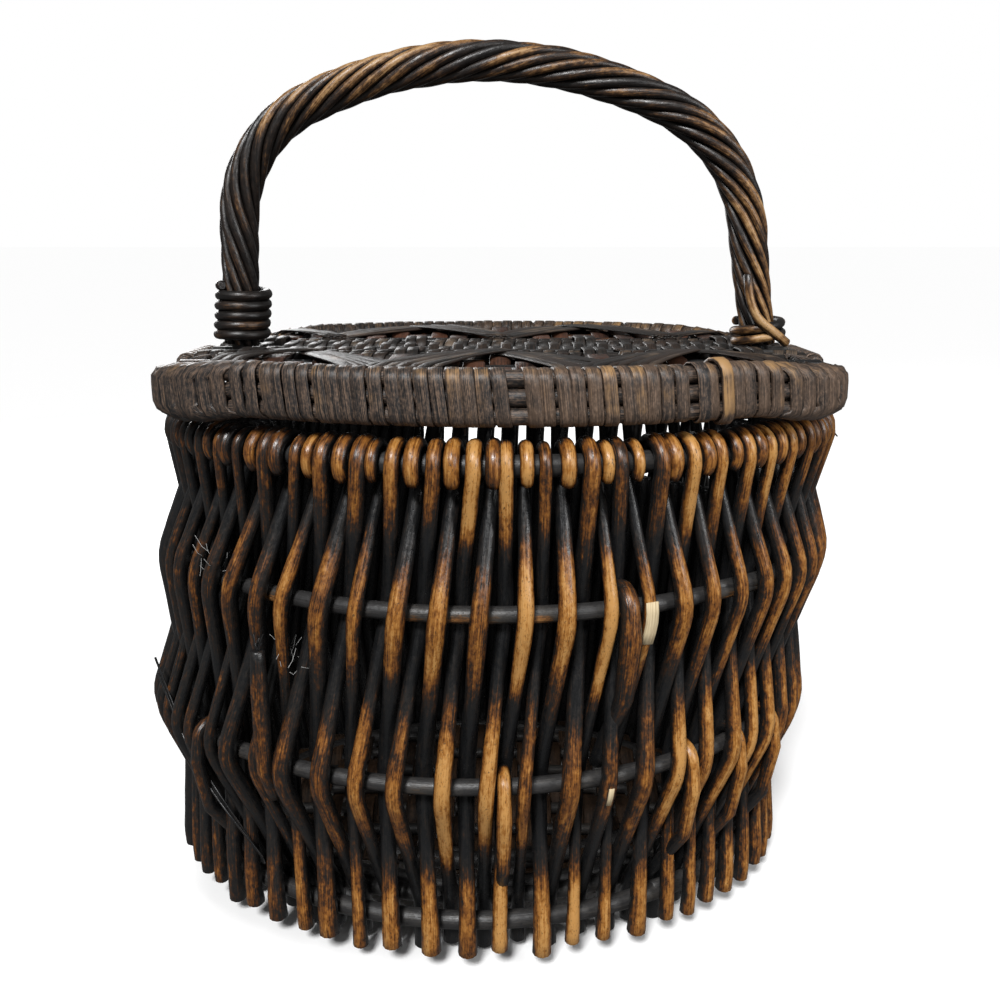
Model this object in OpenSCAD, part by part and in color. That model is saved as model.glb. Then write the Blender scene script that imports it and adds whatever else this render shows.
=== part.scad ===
// Oval wicker basket with two lid flaps on a fixed bridge, and a fixed handle of twisted rods.
// X runs along the basket, -Y is its front, and Z is up from the surface that it stands on.
// Every hoop is an oval of four arcs. The stakes weave past four hoops and wrap over the rim.

/* [Hoops] */
// Half width of the rim hoop
rim_half_w = 165; // [160:1:170]
// Half depth of the rim hoop
rim_half_d = 122; // [118:1:126]
// How far the rim hoop stands to the right, with all that it carries
rim_shift = 8; // [5:0.5:10]
// Height of the rim hoop
rim_z = 250; // [240:1:262]
// Thickness of the rim hoop's rod
rim_d = 10; // [9:0.5:11]
// Half width of the upper hoop
upper_half_w = 168; // [164:1:172]
// Half depth of the upper hoop
upper_half_d = 126; // [122:1:130]
// How far the upper hoop stands to the right
upper_shift = 4.5; // [2:0.5:7]
// Height of the upper hoop
upper_z = 184; // [175:1:192]
// Half width of the lower hoop
lower_half_w = 168; // [163:1:173]
// Half depth of the lower hoop
lower_half_d = 124; // [120:1:128]
// How far the lower hoop stands to the right, or to the left below 0
lower_shift = -5; // [-7:0.5:-2]
// Height of the lower hoop
lower_z = 100; // [92:1:110]
// Thickness of the upper and the lower hoop's rods
belt_d = 8; // [7:0.5:9]
// Half width of the base hoop
base_half_w = 155; // [150:1:158]
// Half depth of the base hoop
base_half_d = 110; // [106:1:114]
// How far the base hoop stands to the right, or to the left below 0
base_shift = -4; // [-6:0.5:-1]
// Height of the base hoop
base_z = 22; // [18:1:30]
// Thickness of the base hoop's rod
base_d = 9; // [8:0.5:10]
// Distance of the centres of the round ends from the middle of the basket
end_centre = 84; // [78:1:90]

/* [Stakes] */
// Thickness of a stake in the wall
stake_d = 7.4; // [6.4:0.2:8]
// Thickness of a stake where it wraps over the rim
stake_tip_d = 6.6; // [5.6:0.2:6.8]
// Least room between two stakes where they cross
stake_gap = 0.25; // [0.2:0.05:0.6]
// Length of a stake's tail below the rim hoop, on the far side of it
tail_len = 13; // [8:1:20]
// Height of the ends of the stakes that stop in front of the base hoop
front_end_z = 9; // [6:1:12]

/* [Base] */
// Thickness of the rod of the base's own frame
base_frame_d = 8; // [6:0.5:9]
// Thickness of a base stick
base_stick_d = 6; // [5:0.5:7]
// Distance between the base sticks
base_stick_pitch = 22; // [20:1:26]
// Width of a splint woven through the base sticks
base_splint_w = 8; // [6:0.5:8.5]
// Thickness of a base splint
base_splint_t = 1.6; // [1.2:0.2:2]

/* [Handle] */
// Height of the middle of the handle at its top
handle_top_z = 433; // [425:1:442]
// Radius of the handle's shoulders
shoulder_r = 72; // [66:1:76]
// Distance of the centres of the shoulders below the middle of the handle at its top
shoulder_drop = 86; // [80:1:92]
// Lean of the handle's legs from upright
leg_lean = 5; // [4:0.5:6.5]
// Height of the lower ends of the legs, inside the basket
leg_end_z = 172; // [160:1:178]
// Thickness of the bow inside the handle
bow_d = 10.5; // [9:0.5:12]
// Number of rods twisted round the bow
strand_count = 9; // [7:1:9]
// Thickness of a twisted rod
strand_d = 4.8; // [4:0.1:5]
// Thickness of a twisted rod at the handle's feet
strand_foot_d = 3.6; // [3:0.1:4]
// Length along the handle in which the rods go round once
strand_turn = 135; // [120:5:160]
// Thickness of the rod bound round the left foot
left_binding_d = 4.4; // [3.6:0.2:4.8]
// Turns of the binding on the left foot
left_binding_turns = 5; // [4:1:6]
// Room between the turns on the left foot
left_binding_gap = 0.6; // [0.5:0.1:1]
// Thickness of the rod bound round the right foot
right_binding_d = 5.2; // [4.4:0.2:6]
// Turns of the binding on the right foot
right_binding_turns = 2; // [1:1:3]
// Room between the turns on the right foot
right_binding_gap = 2; // [1:0.5:4]

/* [Bridge] */
// Distance of the hinge lines from the middle of the basket
hinge_y = 26; // [24:1:30]
// Thickness of the bridge's edge rods, which the lids turn on
hinge_rod_d = 9; // [8:0.5:9.5]
// Thickness of the bridge's inner rods
inner_rod_d = 6; // [5:0.5:7]
// Width of a splint woven through the bridge
bridge_splint_w = 5.5; // [4.5:0.5:6]

/* [Lids] */
// Half width of a lid
lid_half_w = 167; // [162:1:170]
// Distance of a lid's front edge from the middle of the basket
lid_half_d = 133; // [129:1:136]
// Radius of a lid's corners beside the bridge
lid_corner_r = 25; // [20:1:28]
// Height of a lid's bound border
border_h = 26; // [24:0.5:28]
// Width of a lid's bound border
border_w = 12; // [10:0.5:13]
// How far the middle of a lid stands up from its corners
lid_lift = 5.4; // [3:0.2:7]
// Thickness of a lid's ribs
rib_d = 5; // [4:0.5:5.5]
// Width of a splint woven through a lid's ribs
lid_splint_w = 9; // [7:0.5:10]
// Distance between a lid's splints
lid_splint_pitch = 12; // [11:0.5:14]
// Width of one skein of the fans on a lid
skein_w = 5; // [4:0.5:6]
// Distance between the points of the fans along the hinge
fan_pitch = 94; // [88:1:98]
// Width of a hinge loop
loop_w = 12; // [8:1:14]

/* [Hidden] */

// Rest clearance between a piece and what carries it
seat_gap = 0.3;
// Side faces on every round rod
round_fn = 32;
// Thickness of the flat skeins and splints of the bridge and the lids
skein_t = 1.2;
// Rest clearance between rods and splints that are woven or wound on each other
weave_gap = 0.15;
// Room between two splints side by side, and between a splint and a hinge loop
splint_room = 1;
loop_room = 0.5;
// Share of a rod's thickness, each side of its middle, over which a woven splint lies flat
flat_share = 0.42;
// Steepest lean of a stake between two hoops, which its offset allows for
stake_lean = 18;
// How far below the middle of the rim a stake turns upright
wrap_start = 3;
// How high the outer stakes end that don't reach the ground, and how far the ends differ
peg_room = 2.5;
end_spread = 4;
// A stake has five sides, and its flat side faces into the basket
stake_sides = 5;
stake_r = stake_d / 2;
tip_r = stake_tip_d / 2;

// An oval of four arcs is [half width, half depth, shift along X]; these give its arcs
function end_r(o) = o[0] - end_centre;
function side_r(o) = (end_centre ^ 2 + o[1] ^ 2 - end_r(o) ^ 2) / (2 * (o[1] - end_r(o)));
function joint_angle(o) = atan2(side_r(o) - o[1], end_centre);
function end_run(o) = end_r(o) * joint_angle(o) * PI / 180;
function side_run(o) = side_r(o) * (90 - joint_angle(o)) * PI / 180;
function oval_length(o) = 4 * (end_run(o) + side_run(o));

// Angle of the outward normal at a distance along the first quarter of an oval
function quarter_angle(o, run) = run < end_run(o)
    ? run / end_r(o) * 180 / PI
    : joint_angle(o) + (run - end_run(o)) / side_r(o) * 180 / PI;
function quarter_point(o, a) = a < joint_angle(o)
    ? [end_centre + end_r(o) * cos(a), end_r(o) * sin(a)]
    : [side_r(o) * cos(a), o[1] - side_r(o) + side_r(o) * sin(a)];

// Point and outward normal at a share of the way round an oval, as [x, y, nx, ny]
function oval_at(o, share) =
    let (
        q = floor(share * 4),
        f = share * 4 - q,
        run = (q % 2 == 0 ? f : 1 - f) * (end_run(o) + side_run(o)),
        a = quarter_angle(o, run),
        p = quarter_point(o, a),
        sx = q == 0 || q == 3 ? 1 : -1,
        sy = q < 2 ? 1 : -1
    )
    [o[2] + sx * p[0], sy * p[1], sx * cos(a), sy * sin(a)];

// Half length of an oval along X at a distance y from its middle, and along Y at a distance x
function oval_x(o, y) = abs(y) < end_r(o) * sin(joint_angle(o))
    ? end_centre + sqrt(end_r(o) ^ 2 - y ^ 2)
    : sqrt(side_r(o) ^ 2 - (abs(y) + side_r(o) - o[1]) ^ 2);
function oval_y(o, x) = abs(x) > side_r(o) * cos(joint_angle(o))
    ? sqrt(end_r(o) ^ 2 - (abs(x) - end_centre) ^ 2)
    : o[1] - side_r(o) + sqrt(side_r(o) ^ 2 - x ^ 2);

rim_oval = [rim_half_w, rim_half_d, rim_shift];
upper_oval = [upper_half_w, upper_half_d, upper_shift];
lower_oval = [lower_half_w, lower_half_d, lower_shift];
base_oval = [base_half_w, base_half_d, base_shift];
cross_oval = (lower_oval + base_oval) / 2;

// Whole pairs of stakes that fit where the wall is narrowest at a crossing, kept even
pair_count = 2 * floor(oval_length(cross_oval) / (4 * (stake_d + stake_gap)));
stake_count = 2 * pair_count;
// How far a stake's middle passes from the middle of a hoop
function pass_by(hoop_d) = (hoop_d / 2 + stake_r + seat_gap) / cos(stake_lean);
rim_wrap_r = rim_d / 2 + tip_r + seat_gap;
rim_top = rim_z + rim_wrap_r + tip_r;

// Sweep of a many-sided section along stations, each [point, first axis, second axis, radius]
module swept_rod(stations, sides) {
    last = len(stations) - 1;
    points = [
        for (s = stations, k = [0 : sides - 1])
            let (a = 360 * k / sides)
            s[0] + s[3] * (cos(a) * s[1] + sin(a) * s[2])
    ];
    faces = concat(
        [[for (k = [0 : sides - 1]) k]],
        [
            for (i = [0 : last - 1], k = [0 : sides - 1], half = [0, 1])
                let (a = i * sides + k, b = i * sides + (k + 1) % sides)
                half == 0 ? [a, a + sides, b] : [a + sides, b + sides, b]
        ],
        [[for (k = [sides - 1 : -1 : 0]) last * sides + k]]
    );
    polyhedron(points = points, faces = faces, convexity = 6);
}

function unit(v) = v / norm(v);
// Direction of a path at one of its points
function heading(path, i) =
    unit(path[min(i + 1, len(path) - 1)] - path[max(i - 1, 0)]);

// The stakes: a stake's route is a list of [oval, height, offset from the hoop, radius]
tan_wrap = tan(22.5);
function rim_route(side) = [
    [rim_oval, rim_z - wrap_start, side * rim_wrap_r, tip_r],
    [rim_oval, rim_z + rim_wrap_r * tan_wrap, side * rim_wrap_r, tip_r],
    [rim_oval, rim_z + rim_wrap_r, side * rim_wrap_r * tan_wrap, tip_r],
    [rim_oval, rim_z + rim_wrap_r, -side * rim_wrap_r * tan_wrap, tip_r],
    [rim_oval, rim_z + rim_wrap_r * tan_wrap, -side * rim_wrap_r, tip_r],
    [rim_oval, rim_z - tail_len, -side * rim_wrap_r, tip_r]
];
// side is 1 for a stake that comes up in front of the rim, and -1 for one behind it
function stake_route(side, end_z) = concat(
    [
        [base_oval, end_z, -side * pass_by(base_d), stake_r],
        [base_oval, base_z, -side * pass_by(base_d), stake_r],
        [lower_oval, lower_z, side * pass_by(belt_d), stake_r],
        [upper_oval, upper_z, -side * pass_by(belt_d), stake_r]
    ],
    rim_route(side)
);
function route_point(r, share) =
    let (p = oval_at(r[0], share))
    [p[0] + r[2] * p[2], p[1] + r[2] * p[3], r[1]];

module stake(share, side, end_z) {
    route = stake_route(side, end_z);
    path = [for (r = route) route_point(r, share)];
    stations = [
        for (i = [0 : len(route) - 1])
            let (
                p = oval_at(route[i][0], share),
                along = [-p[3], p[2], 0],
                ahead = i == 0 ? [0, 0, 1] : heading(path, i)
            )
            [path[i], unit(cross(along, ahead)), along, route[i][3]]
    ];
    swept_rod(stations, stake_sides);
}

// Every fourth outer stake reaches the ground, and the rest end a little above it
function peg_z(i) = i % 4 == 0 ? 0 : peg_room + end_spread * abs(sin(137 * i));
module outer_stakes() {
    color("sienna")
    for (i = [0 : pair_count - 1])
        stake((2 * i + 0.5) / stake_count, 1, peg_z(i));
}
module inner_stakes() {
    color("saddlebrown")
    for (i = [0 : pair_count - 1])
        stake((2 * i + 1.5) / stake_count, -1, front_end_z + end_spread * abs(sin(71 * i)));
}

// One hoop: an oval of round rod. Its arcs stop just short of each other inside a ball,
// which is turned so that its poles lie inside the rod
joint_swell = 0.15;
joint_short = 0.4;
module arc_rod(r, from, to, rod_d) {
    short = joint_short / r * 180 / PI;
    rotate([0, 0, from + short])
    rotate_extrude(angle = to - from - 2 * short, $fn = 180)
    translate([r, 0])
    circle(d = rod_d, $fn = round_fn);
}
module joint_ball(rod_d) {
    sphere(d = rod_d + 2 * joint_swell, $fn = round_fn);
}
module oval_hoop(o, rod_d, z) {
    a = joint_angle(o);
    p = quarter_point(o, a);
    translate([o[2], 0, z]) {
        translate([end_centre, 0, 0])
            arc_rod(end_r(o), -a, a, rod_d);
        translate([-end_centre, 0, 0])
            arc_rod(end_r(o), 180 - a, 180 + a, rod_d);
        translate([0, o[1] - side_r(o), 0])
            arc_rod(side_r(o), a, 180 - a, rod_d);
        translate([0, side_r(o) - o[1], 0])
            arc_rod(side_r(o), 180 + a, 360 - a, rod_d);
        for (sx = [-1, 1], sy = [-1, 1])
            translate([sx * p[0], sy * p[1], 0])
            rotate([0, 90, sx * sy * (a - 90)])
            joint_ball(rod_d);
    }
}
module rim_hoop() {
    color("dimgray") oval_hoop(rim_oval, rim_d, rim_z);
}
module upper_hoop() {
    color("dimgray") oval_hoop(upper_oval, belt_d, upper_z);
}
module lower_hoop() {
    color("dimgray") oval_hoop(lower_oval, belt_d, lower_z);
}
module base_hoop() {
    color("dimgray") oval_hoop(base_oval, base_d, base_z);
}

// Edge line of a flat splint that passes over and under round rods, with flats over each rod
function weave_line(rods, rod_d, t, phase, from, to, side) =
    let (h = rod_d / 2 + t / 2 + weave_gap, flat = rod_d * flat_share)
    concat(
        [[from, phase * h + side * t / 2]],
        [
            for (j = [0 : len(rods) - 1], e = [-1, 1])
                [rods[j] + e * flat, (j % 2 == 0 ? phase : -phase) * h + side * t / 2]
        ],
        [[to, (len(rods) % 2 == 1 ? phase : -phase) * h + side * t / 2]]
    );
// A splint that runs along Y at a distance x, through rods at the places given
module woven_splint(x, z, rods, rod_d, w, t, phase, from, to) {
    top = weave_line(rods, rod_d, t, phase, from, to, 1);
    bottom = weave_line(rods, rod_d, t, phase, from, to, -1);
    translate([x, 0, z])
    rotate([90, 0, 90])
    linear_extrude(height = w, center = true)
    polygon(concat(top, [for (i = [len(bottom) - 1 : -1 : 0]) bottom[i]]));
}

// The base: a hoop that fits inside the outer stakes, with sticks on it and splints through them
stake_flat_r = stake_r * cos(180 / stake_sides);
base_frame_in = pass_by(base_d) + stake_flat_r + seat_gap + base_frame_d / 2;
base_frame_oval = base_oval - [1, 1, 0] * base_frame_in;
base_frame_rise = 2;
base_frame_z = base_z + base_frame_rise;
base_stick_z = base_frame_z + (base_frame_d + base_stick_d) / 2 + seat_gap;
base_stick_margin = 20;
base_stick_rows = floor((base_frame_oval[1] - base_stick_margin) / base_stick_pitch);
base_sticks_y = [for (j = [-base_stick_rows : base_stick_rows]) j * base_stick_pitch];
base_splint_pitch = base_splint_w + splint_room;
base_splint_margin = 16;
base_splint_rows = floor((base_frame_oval[0] - base_splint_margin) / base_splint_pitch);
// A splint ends this share of a pitch past the last stick
base_splint_over = 0.6;
base_splint_oval = base_frame_oval - [1, 1, 0] * (base_frame_d / 2 + seat_gap);

module base_frame_hoop() {
    color("#4a3a30") oval_hoop(base_frame_oval, base_frame_d, base_frame_z);
}
module base_sticks() {
    color("#6b4a2c")
    for (y = base_sticks_y)
        translate([base_shift, y, base_stick_z])
        rotate([0, 90, 0])
        cylinder(h = 2 * oval_x(base_frame_oval, y), d = base_stick_d, center = true, $fn = round_fn);
}
// Splints near the ends pass only the sticks that they reach
module base_splints() {
    color("#7a5a3a")
    for (k = [-base_splint_rows : base_splint_rows]) {
        x = k * base_splint_pitch;
        reach = min(
            oval_y(base_splint_oval, abs(x) + base_splint_w / 2),
            (base_stick_rows + base_splint_over) * base_stick_pitch
        );
        rods = [for (y = base_sticks_y) if (abs(y) < reach - base_stick_d) y];
        woven_splint(
            base_shift + x, base_stick_z, rods, base_stick_d, base_splint_w, base_splint_t,
            k % 2 == 0 ? 1 : -1, -reach, reach
        );
    }
}

// The handle, the bridge and the lids are drawn about their own middle, which is the rim's
module on_rim() {
    translate([rim_shift, 0, 0]) children();
}

// The handle's middle line: leaning legs, two shoulders and a top arc that is tangent to them.
// The legs' places are set where one of them meets the stakes inside the upper hoop
shoulder_z = handle_top_z - shoulder_drop;
upper_aside = abs(upper_shift - rim_shift);
leg_seat_x = upper_half_w - upper_aside - pass_by(belt_d) - stake_r - seat_gap - bow_d / 2;
shoulder_x = leg_seat_x - shoulder_r / cos(leg_lean) - (shoulder_z - upper_z) * tan(leg_lean);
top_r = (shoulder_x ^ 2 + shoulder_drop ^ 2 - shoulder_r ^ 2) / (2 * (shoulder_drop - shoulder_r));
top_centre_z = handle_top_z - top_r;
shoulder_end = atan2(shoulder_z - top_centre_z, shoulder_x);
leg_top_x = shoulder_x + shoulder_r * cos(leg_lean);
leg_top_z = shoulder_z + shoulder_r * sin(leg_lean);
function leg_x(z) = leg_top_x + (leg_top_z - z) * tan(leg_lean);

module handle_bow() {
    leg_len = (leg_top_z - leg_end_z) / cos(leg_lean);
    color("#4d3320")
    on_rim() {
        translate([0, 0, top_centre_z])
            rotate([90, 0, 0])
            arc_rod(top_r, shoulder_end, 180 - shoulder_end, bow_d);
        translate([shoulder_x, 0, shoulder_z])
            rotate([90, 0, 0])
            arc_rod(shoulder_r, leg_lean, shoulder_end, bow_d);
        translate([-shoulder_x, 0, shoulder_z])
            rotate([90, 0, 0])
            arc_rod(shoulder_r, 180 - shoulder_end, 180 - leg_lean, bow_d);
        for (side = [-1, 1]) {
            translate([side * leg_top_x, 0, leg_top_z])
                rotate([0, side * (180 - leg_lean), 0])
                translate([0, 0, joint_short])
                cylinder(h = leg_len - joint_short, d = bow_d, $fn = round_fn);
            translate([side * leg_top_x, 0, leg_top_z])
                joint_ball(bow_d);
            translate([side * top_r * cos(shoulder_end), 0, top_centre_z + top_r * sin(shoulder_end)])
                joint_ball(bow_d);
        }
    }
}

// Heights on the legs where the bindings sit and the twisted rods end
lobe_room = 0.4;
lobe_bottom = rim_top + lobe_room;
hinge_drop = 2.8;
hinge_z = lobe_bottom + border_h - hinge_drop;
bridge_top = hinge_z + hinge_rod_d / 2;
strand_end_room = 1;
strand_end_z = bridge_top + strand_end_room;
foot_run = (leg_top_z - strand_end_z) / cos(leg_lean);
shoulder_run = shoulder_r * (shoulder_end - leg_lean) * PI / 180;
top_run = top_r * (90 - shoulder_end) * PI / 180;
half_run = foot_run + shoulder_run + top_run;

// Point and outward direction on the right half of the handle, at a distance from its top
function half_handle(d) =
    let (
        on_top = d < top_run,
        on_shoulder = d < top_run + shoulder_run,
        a = on_top ? 90 - d / top_r * 180 / PI
            : on_shoulder ? shoulder_end - (d - top_run) / shoulder_r * 180 / PI
            : leg_lean,
        down = max(0, d - top_run - shoulder_run),
        p = on_top ? [top_r * cos(a), top_centre_z + top_r * sin(a)]
            : [
                shoulder_x + shoulder_r * cos(a) + down * sin(leg_lean),
                shoulder_z + shoulder_r * sin(a) - down * cos(leg_lean)
            ]
    )
    [p[0], p[1], cos(a), sin(a)];
// The same along the whole handle, from the left foot at 0
function handle_at(s) =
    let (h = half_handle(abs(s - half_run)), side = s < half_run ? -1 : 1)
    [[side * h[0], 0, h[1]], [side * h[2], 0, h[3]]];

// A twisted rod is thinner at the feet, so that the binding fits round it
strand_taper_run = 60;
function strand_d_at(s) =
    let (t = min(1, s / strand_taper_run, (2 * half_run - s) / strand_taper_run))
    strand_foot_d + (strand_d - strand_foot_d) * t;
strand_steps = 30;
strand_sides = 5;
// The straight steps of a strand touch the round that it is wound on, so its corners stand off it
step_half_turn = 360 * 2 * half_run / strand_turn / strand_steps / 2;
module handle_strand(k) {
    spots = [
        for (i = [0 : strand_steps])
            let (
                s = 2 * half_run * i / strand_steps,
                h = handle_at(s),
                turn = 360 * (s / strand_turn + k / strand_count),
                r = strand_d_at(s) / 2,
                stand_off = (bow_d / 2 + weave_gap + r) / cos(step_half_turn)
            )
            [h[0] + stand_off * (cos(turn) * [0, -1, 0] + sin(turn) * h[1]), h[1], r]
    ];
    path = [for (s = spots) s[0]];
    swept_rod(
        [
            for (i = [0 : strand_steps])
                let (ahead = heading(path, i), side = unit(cross(ahead, spots[i][1])))
                [path[i], cross(side, ahead), side, spots[i][2]]
        ],
        strand_sides
    );
}
module handle_strands() {
    color("#8a5a2a")
    on_rim()
    for (k = [0 : strand_count - 1])
        handle_strand(k);
}

// A binding is one rod that winds round a foot, with a straight run at each end
loop_rings = 24;
binding_sides = 6;
binding_room = 1;
function binding_r(rod_d) =
    bow_d / 2 + weave_gap + strand_foot_d + binding_room + seat_gap + rod_d / 2;
function binding_path(rod_d, turns, gap) =
    let (
        r = binding_r(rod_d),
        rise = rod_d + gap,
        end_a = 360 * turns
    )
    concat(
        [[r, -rod_d, 0]],
        [
            for (i = [0 : loop_rings * turns])
                let (a = 360 * i / loop_rings)
                [r * cos(a), r * sin(a), rise * i / loop_rings]
        ],
        [[r * cos(end_a), r * sin(end_a) + rod_d, rise * turns]]
    );
function least_gap(path, rod_d) = min([
    for (i = [0 : len(path) - 1], j = [i + loop_rings / 2 : 1 : len(path) - 1])
        norm(path[i] - path[j]) - rod_d
]);
module binding(rod_d, turns, gap) {
    path = binding_path(rod_d, turns, gap);
    swept_rod(
        [
            for (i = [0 : len(path) - 1])
                let (
                    ahead = heading(path, i),
                    side = unit(cross(ahead, [0, 0, 1]))
                )
                [path[i], side, cross(ahead, side) * -1, rod_d / 2]
        ],
        binding_sides
    );
}
binding_rise = 1.6;
binding_z = strand_end_z + binding_rise;
module left_foot_binding() {
    echo(left_foot_binding_least_gap = least_gap(
        binding_path(left_binding_d, left_binding_turns, left_binding_gap), left_binding_d));
    z = binding_z + left_binding_d / 2;
    color("#3a2a20")
    on_rim()
    translate([-leg_x(z), 0, z])
    rotate([0, leg_lean, 0])
    binding(left_binding_d, left_binding_turns, left_binding_gap);
}
module right_foot_binding() {
    echo(right_foot_binding_least_gap = least_gap(
        binding_path(right_binding_d, right_binding_turns, right_binding_gap), right_binding_d));
    z = binding_z + right_binding_d / 2;
    color("#6e4a22")
    on_rim()
    translate([leg_x(z), 0, z])
    rotate([0, -leg_lean, 0])
    binding(right_binding_d, right_binding_turns, right_binding_gap);
}

// The bridge: two edge rods, two inner rods beside the handle's legs, and splints through them
bridge_end_in = lid_half_w - border_w;
inner_rod_y = bow_d / 2 + seat_gap + inner_rod_d / 2;
loop_wall = 1.4;
loop_r = hinge_rod_d / 2 + seat_gap + loop_wall;
module x_rod(y, z, half_len, rod_d) {
    translate([0, y, z])
    rotate([0, 90, 0])
    cylinder(h = 2 * half_len, d = rod_d, center = true, $fn = round_fn);
}
module bridge_front_rod() {
    color("#2e2623") on_rim() x_rod(-hinge_y, hinge_z, bridge_end_in, hinge_rod_d);
}
module bridge_rear_rod() {
    color("#2e2623") on_rim() x_rod(hinge_y, hinge_z, bridge_end_in, hinge_rod_d);
}
module bridge_inner_rods() {
    color("#3b302b")
    on_rim() {
        x_rod(-inner_rod_y, hinge_z, bridge_end_in, inner_rod_d);
        x_rod(inner_rod_y, hinge_z, bridge_end_in, inner_rod_d);
    }
}
bridge_splint_pitch = bridge_splint_w + splint_room;
bridge_splint_reach = hinge_y - loop_r - loop_room;
bridge_splint_rows = floor((bridge_end_in - bridge_splint_w / 2 - splint_room) / bridge_splint_pitch);
// No splint crosses a leg of the handle
leg_room = bow_d / 2 / cos(leg_lean) + bridge_splint_w / 2 + splint_room;
module bridge_splints() {
    color("#353030")
    on_rim()
    for (k = [-bridge_splint_rows : bridge_splint_rows]) {
        x = k * bridge_splint_pitch;
        if (abs(abs(x) - leg_x(hinge_z)) > leg_room)
            woven_splint(
                x, hinge_z, [-inner_rod_y, inner_rod_y], inner_rod_d,
                bridge_splint_w, skein_t, k % 2 == 0 ? 1 : -1,
                -bridge_splint_reach, bridge_splint_reach
            );
    }
}
// A bridge end is a bound roll like the lids' borders, and stands on the rim
bridge_end_over = 2;
module bridge_end() {
    translate([lid_half_w - border_w / 2, 0, lobe_bottom]) {
        translate([0, 0, border_w / 2])
        linear_extrude(height = border_h - border_w)
        square([border_w, 2 * (hinge_y + bridge_end_over)], center = true);
        for (z = [border_w / 2, border_h - border_w / 2])
            translate([0, 0, z])
            rotate([90, 0, 0])
            cylinder(h = 2 * (hinge_y + bridge_end_over), d = border_w, center = true, $fn = round_fn);
    }
}
module bridge_right_end() {
    color("#40362f") on_rim() bridge_end();
}
module bridge_left_end() {
    color("#40362f") on_rim() mirror([1, 0, 0]) bridge_end();
}

// A lid's outline: a front arc and two corner arcs, all measured on its outer edge
lid_back_y = hinge_y + hinge_rod_d / 2 + loop_room;
corner_x = lid_half_w - lid_corner_r;
corner_y = lid_back_y + lid_corner_r;
front_r = (corner_x ^ 2 + (lid_half_d - corner_y) ^ 2 - lid_corner_r ^ 2)
    / (2 * (lid_half_d - corner_y - lid_corner_r));
front_centre_y = front_r - lid_half_d;
corner_end = atan2(corner_y + front_centre_y, corner_x);
lid_hinge_rod_y = lid_back_y + border_w / 2;

// The border's route, as [x, y, outward x, outward y], from the left end round to the right end
corner_steps = 6;
front_steps = 14;
mid_corner_r = lid_corner_r - border_w / 2;
mid_front_r = front_r - border_w / 2;
function corner_pt(side, a) = [
    side * (corner_x + mid_corner_r * cos(a)), -corner_y + mid_corner_r * sin(a),
    side * cos(a), sin(a)
];
function front_pt(a) = [
    mid_front_r * cos(a), front_centre_y + mid_front_r * sin(a), cos(a), sin(a)
];
border_route = concat(
    [for (i = [0 : corner_steps - 1]) corner_pt(-1, 90 - (90 + corner_end) * i / corner_steps)],
    [
        for (i = [0 : front_steps])
            front_pt(180 + corner_end + (180 - 2 * corner_end) * i / front_steps)
    ],
    [
        for (i = [corner_steps - 1 : -1 : 0])
            corner_pt(1, 90 - (90 + corner_end) * i / corner_steps)
    ]
);
// The border sinks to the rim at the corners
lift_from = 150;
lift_to = 105;
function lift_at(x) =
    let (t = max(0, min(1, (lift_from - abs(x)) / (lift_from - lift_to))))
    lid_lift * t * t * (3 - 2 * t);
// The section is a tall oval of twelve points with round top and bottom
section_step = 36;
section_points = [
    for (top = [1, -1], a = [0 : section_step : 180])
        [border_w / 2 * cos(a) * top, ((border_h - border_w) / 2 + border_w / 2 * sin(a)) * top]
];
module lid_border() {
    n = len(section_points);
    last = len(border_route) - 1;
    points = [
        for (r = border_route, s = section_points)
            [
                r[0] + s[0] * r[2], r[1] + s[0] * r[3],
                lobe_bottom + border_h / 2 + lift_at(r[0]) + s[1]
            ]
    ];
    faces = concat(
        [[for (k = [0 : n - 1]) k]],
        [
            for (i = [0 : last - 1], k = [0 : n - 1], half = [0, 1])
                let (a = i * n + k, b = i * n + (k + 1) % n)
                half == 0 ? [a, a + n, b] : [a + n, b + n, b]
        ],
        [[for (k = [n - 1 : -1 : 0]) last * n + k]]
    );
    color("#5a4a3e") polyhedron(points = points, faces = faces, convexity = 6);
}
module lid_hinge_rod() {
    color("#2e2623") x_rod(-lid_hinge_rod_y, hinge_z, corner_x, hinge_rod_d);
}

// Hinge loops pass round the bridge's edge rod, where they turn, and round the lid's hinge rod
outer_loop_x = 125;
loops_x = [-outer_loop_x, -fan_pitch / 2, fan_pitch / 2, outer_loop_x];
module lid_loops() {
    color("#3a3330")
    for (x = loops_x)
        translate([x, 0, hinge_z])
        rotate([90, 0, 90])
        linear_extrude(height = loop_w, center = true)
        difference() {
            union() {
                translate([-hinge_y, 0]) circle(r = loop_r, $fn = 48);
                translate([-lid_hinge_rod_y, 0]) circle(r = loop_r, $fn = 48);
                translate([-lid_hinge_rod_y, -loop_r])
                    square([lid_hinge_rod_y - hinge_y, 2 * loop_r]);
            }
            translate([-hinge_y, 0]) circle(d = hinge_rod_d + 2 * seat_gap, $fn = 48);
            translate([-lid_hinge_rod_y, 0]) circle(d = hinge_rod_d + seat_gap, $fn = 48);
        }
}

// Ribs run along the lid between the border's inner faces, with splints woven through them
splint_drop = 0.1;
rib_z = bridge_top - splint_drop - rib_d / 2 - skein_t - weave_gap;
rib_first_room = 14;
rib_first_y = lid_hinge_rod_y + loop_r + rib_first_room;
rib_pitch = 22;
rib_count = 3;
ribs_y = [for (j = [0 : rib_count - 1]) rib_first_y + j * rib_pitch];
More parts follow.
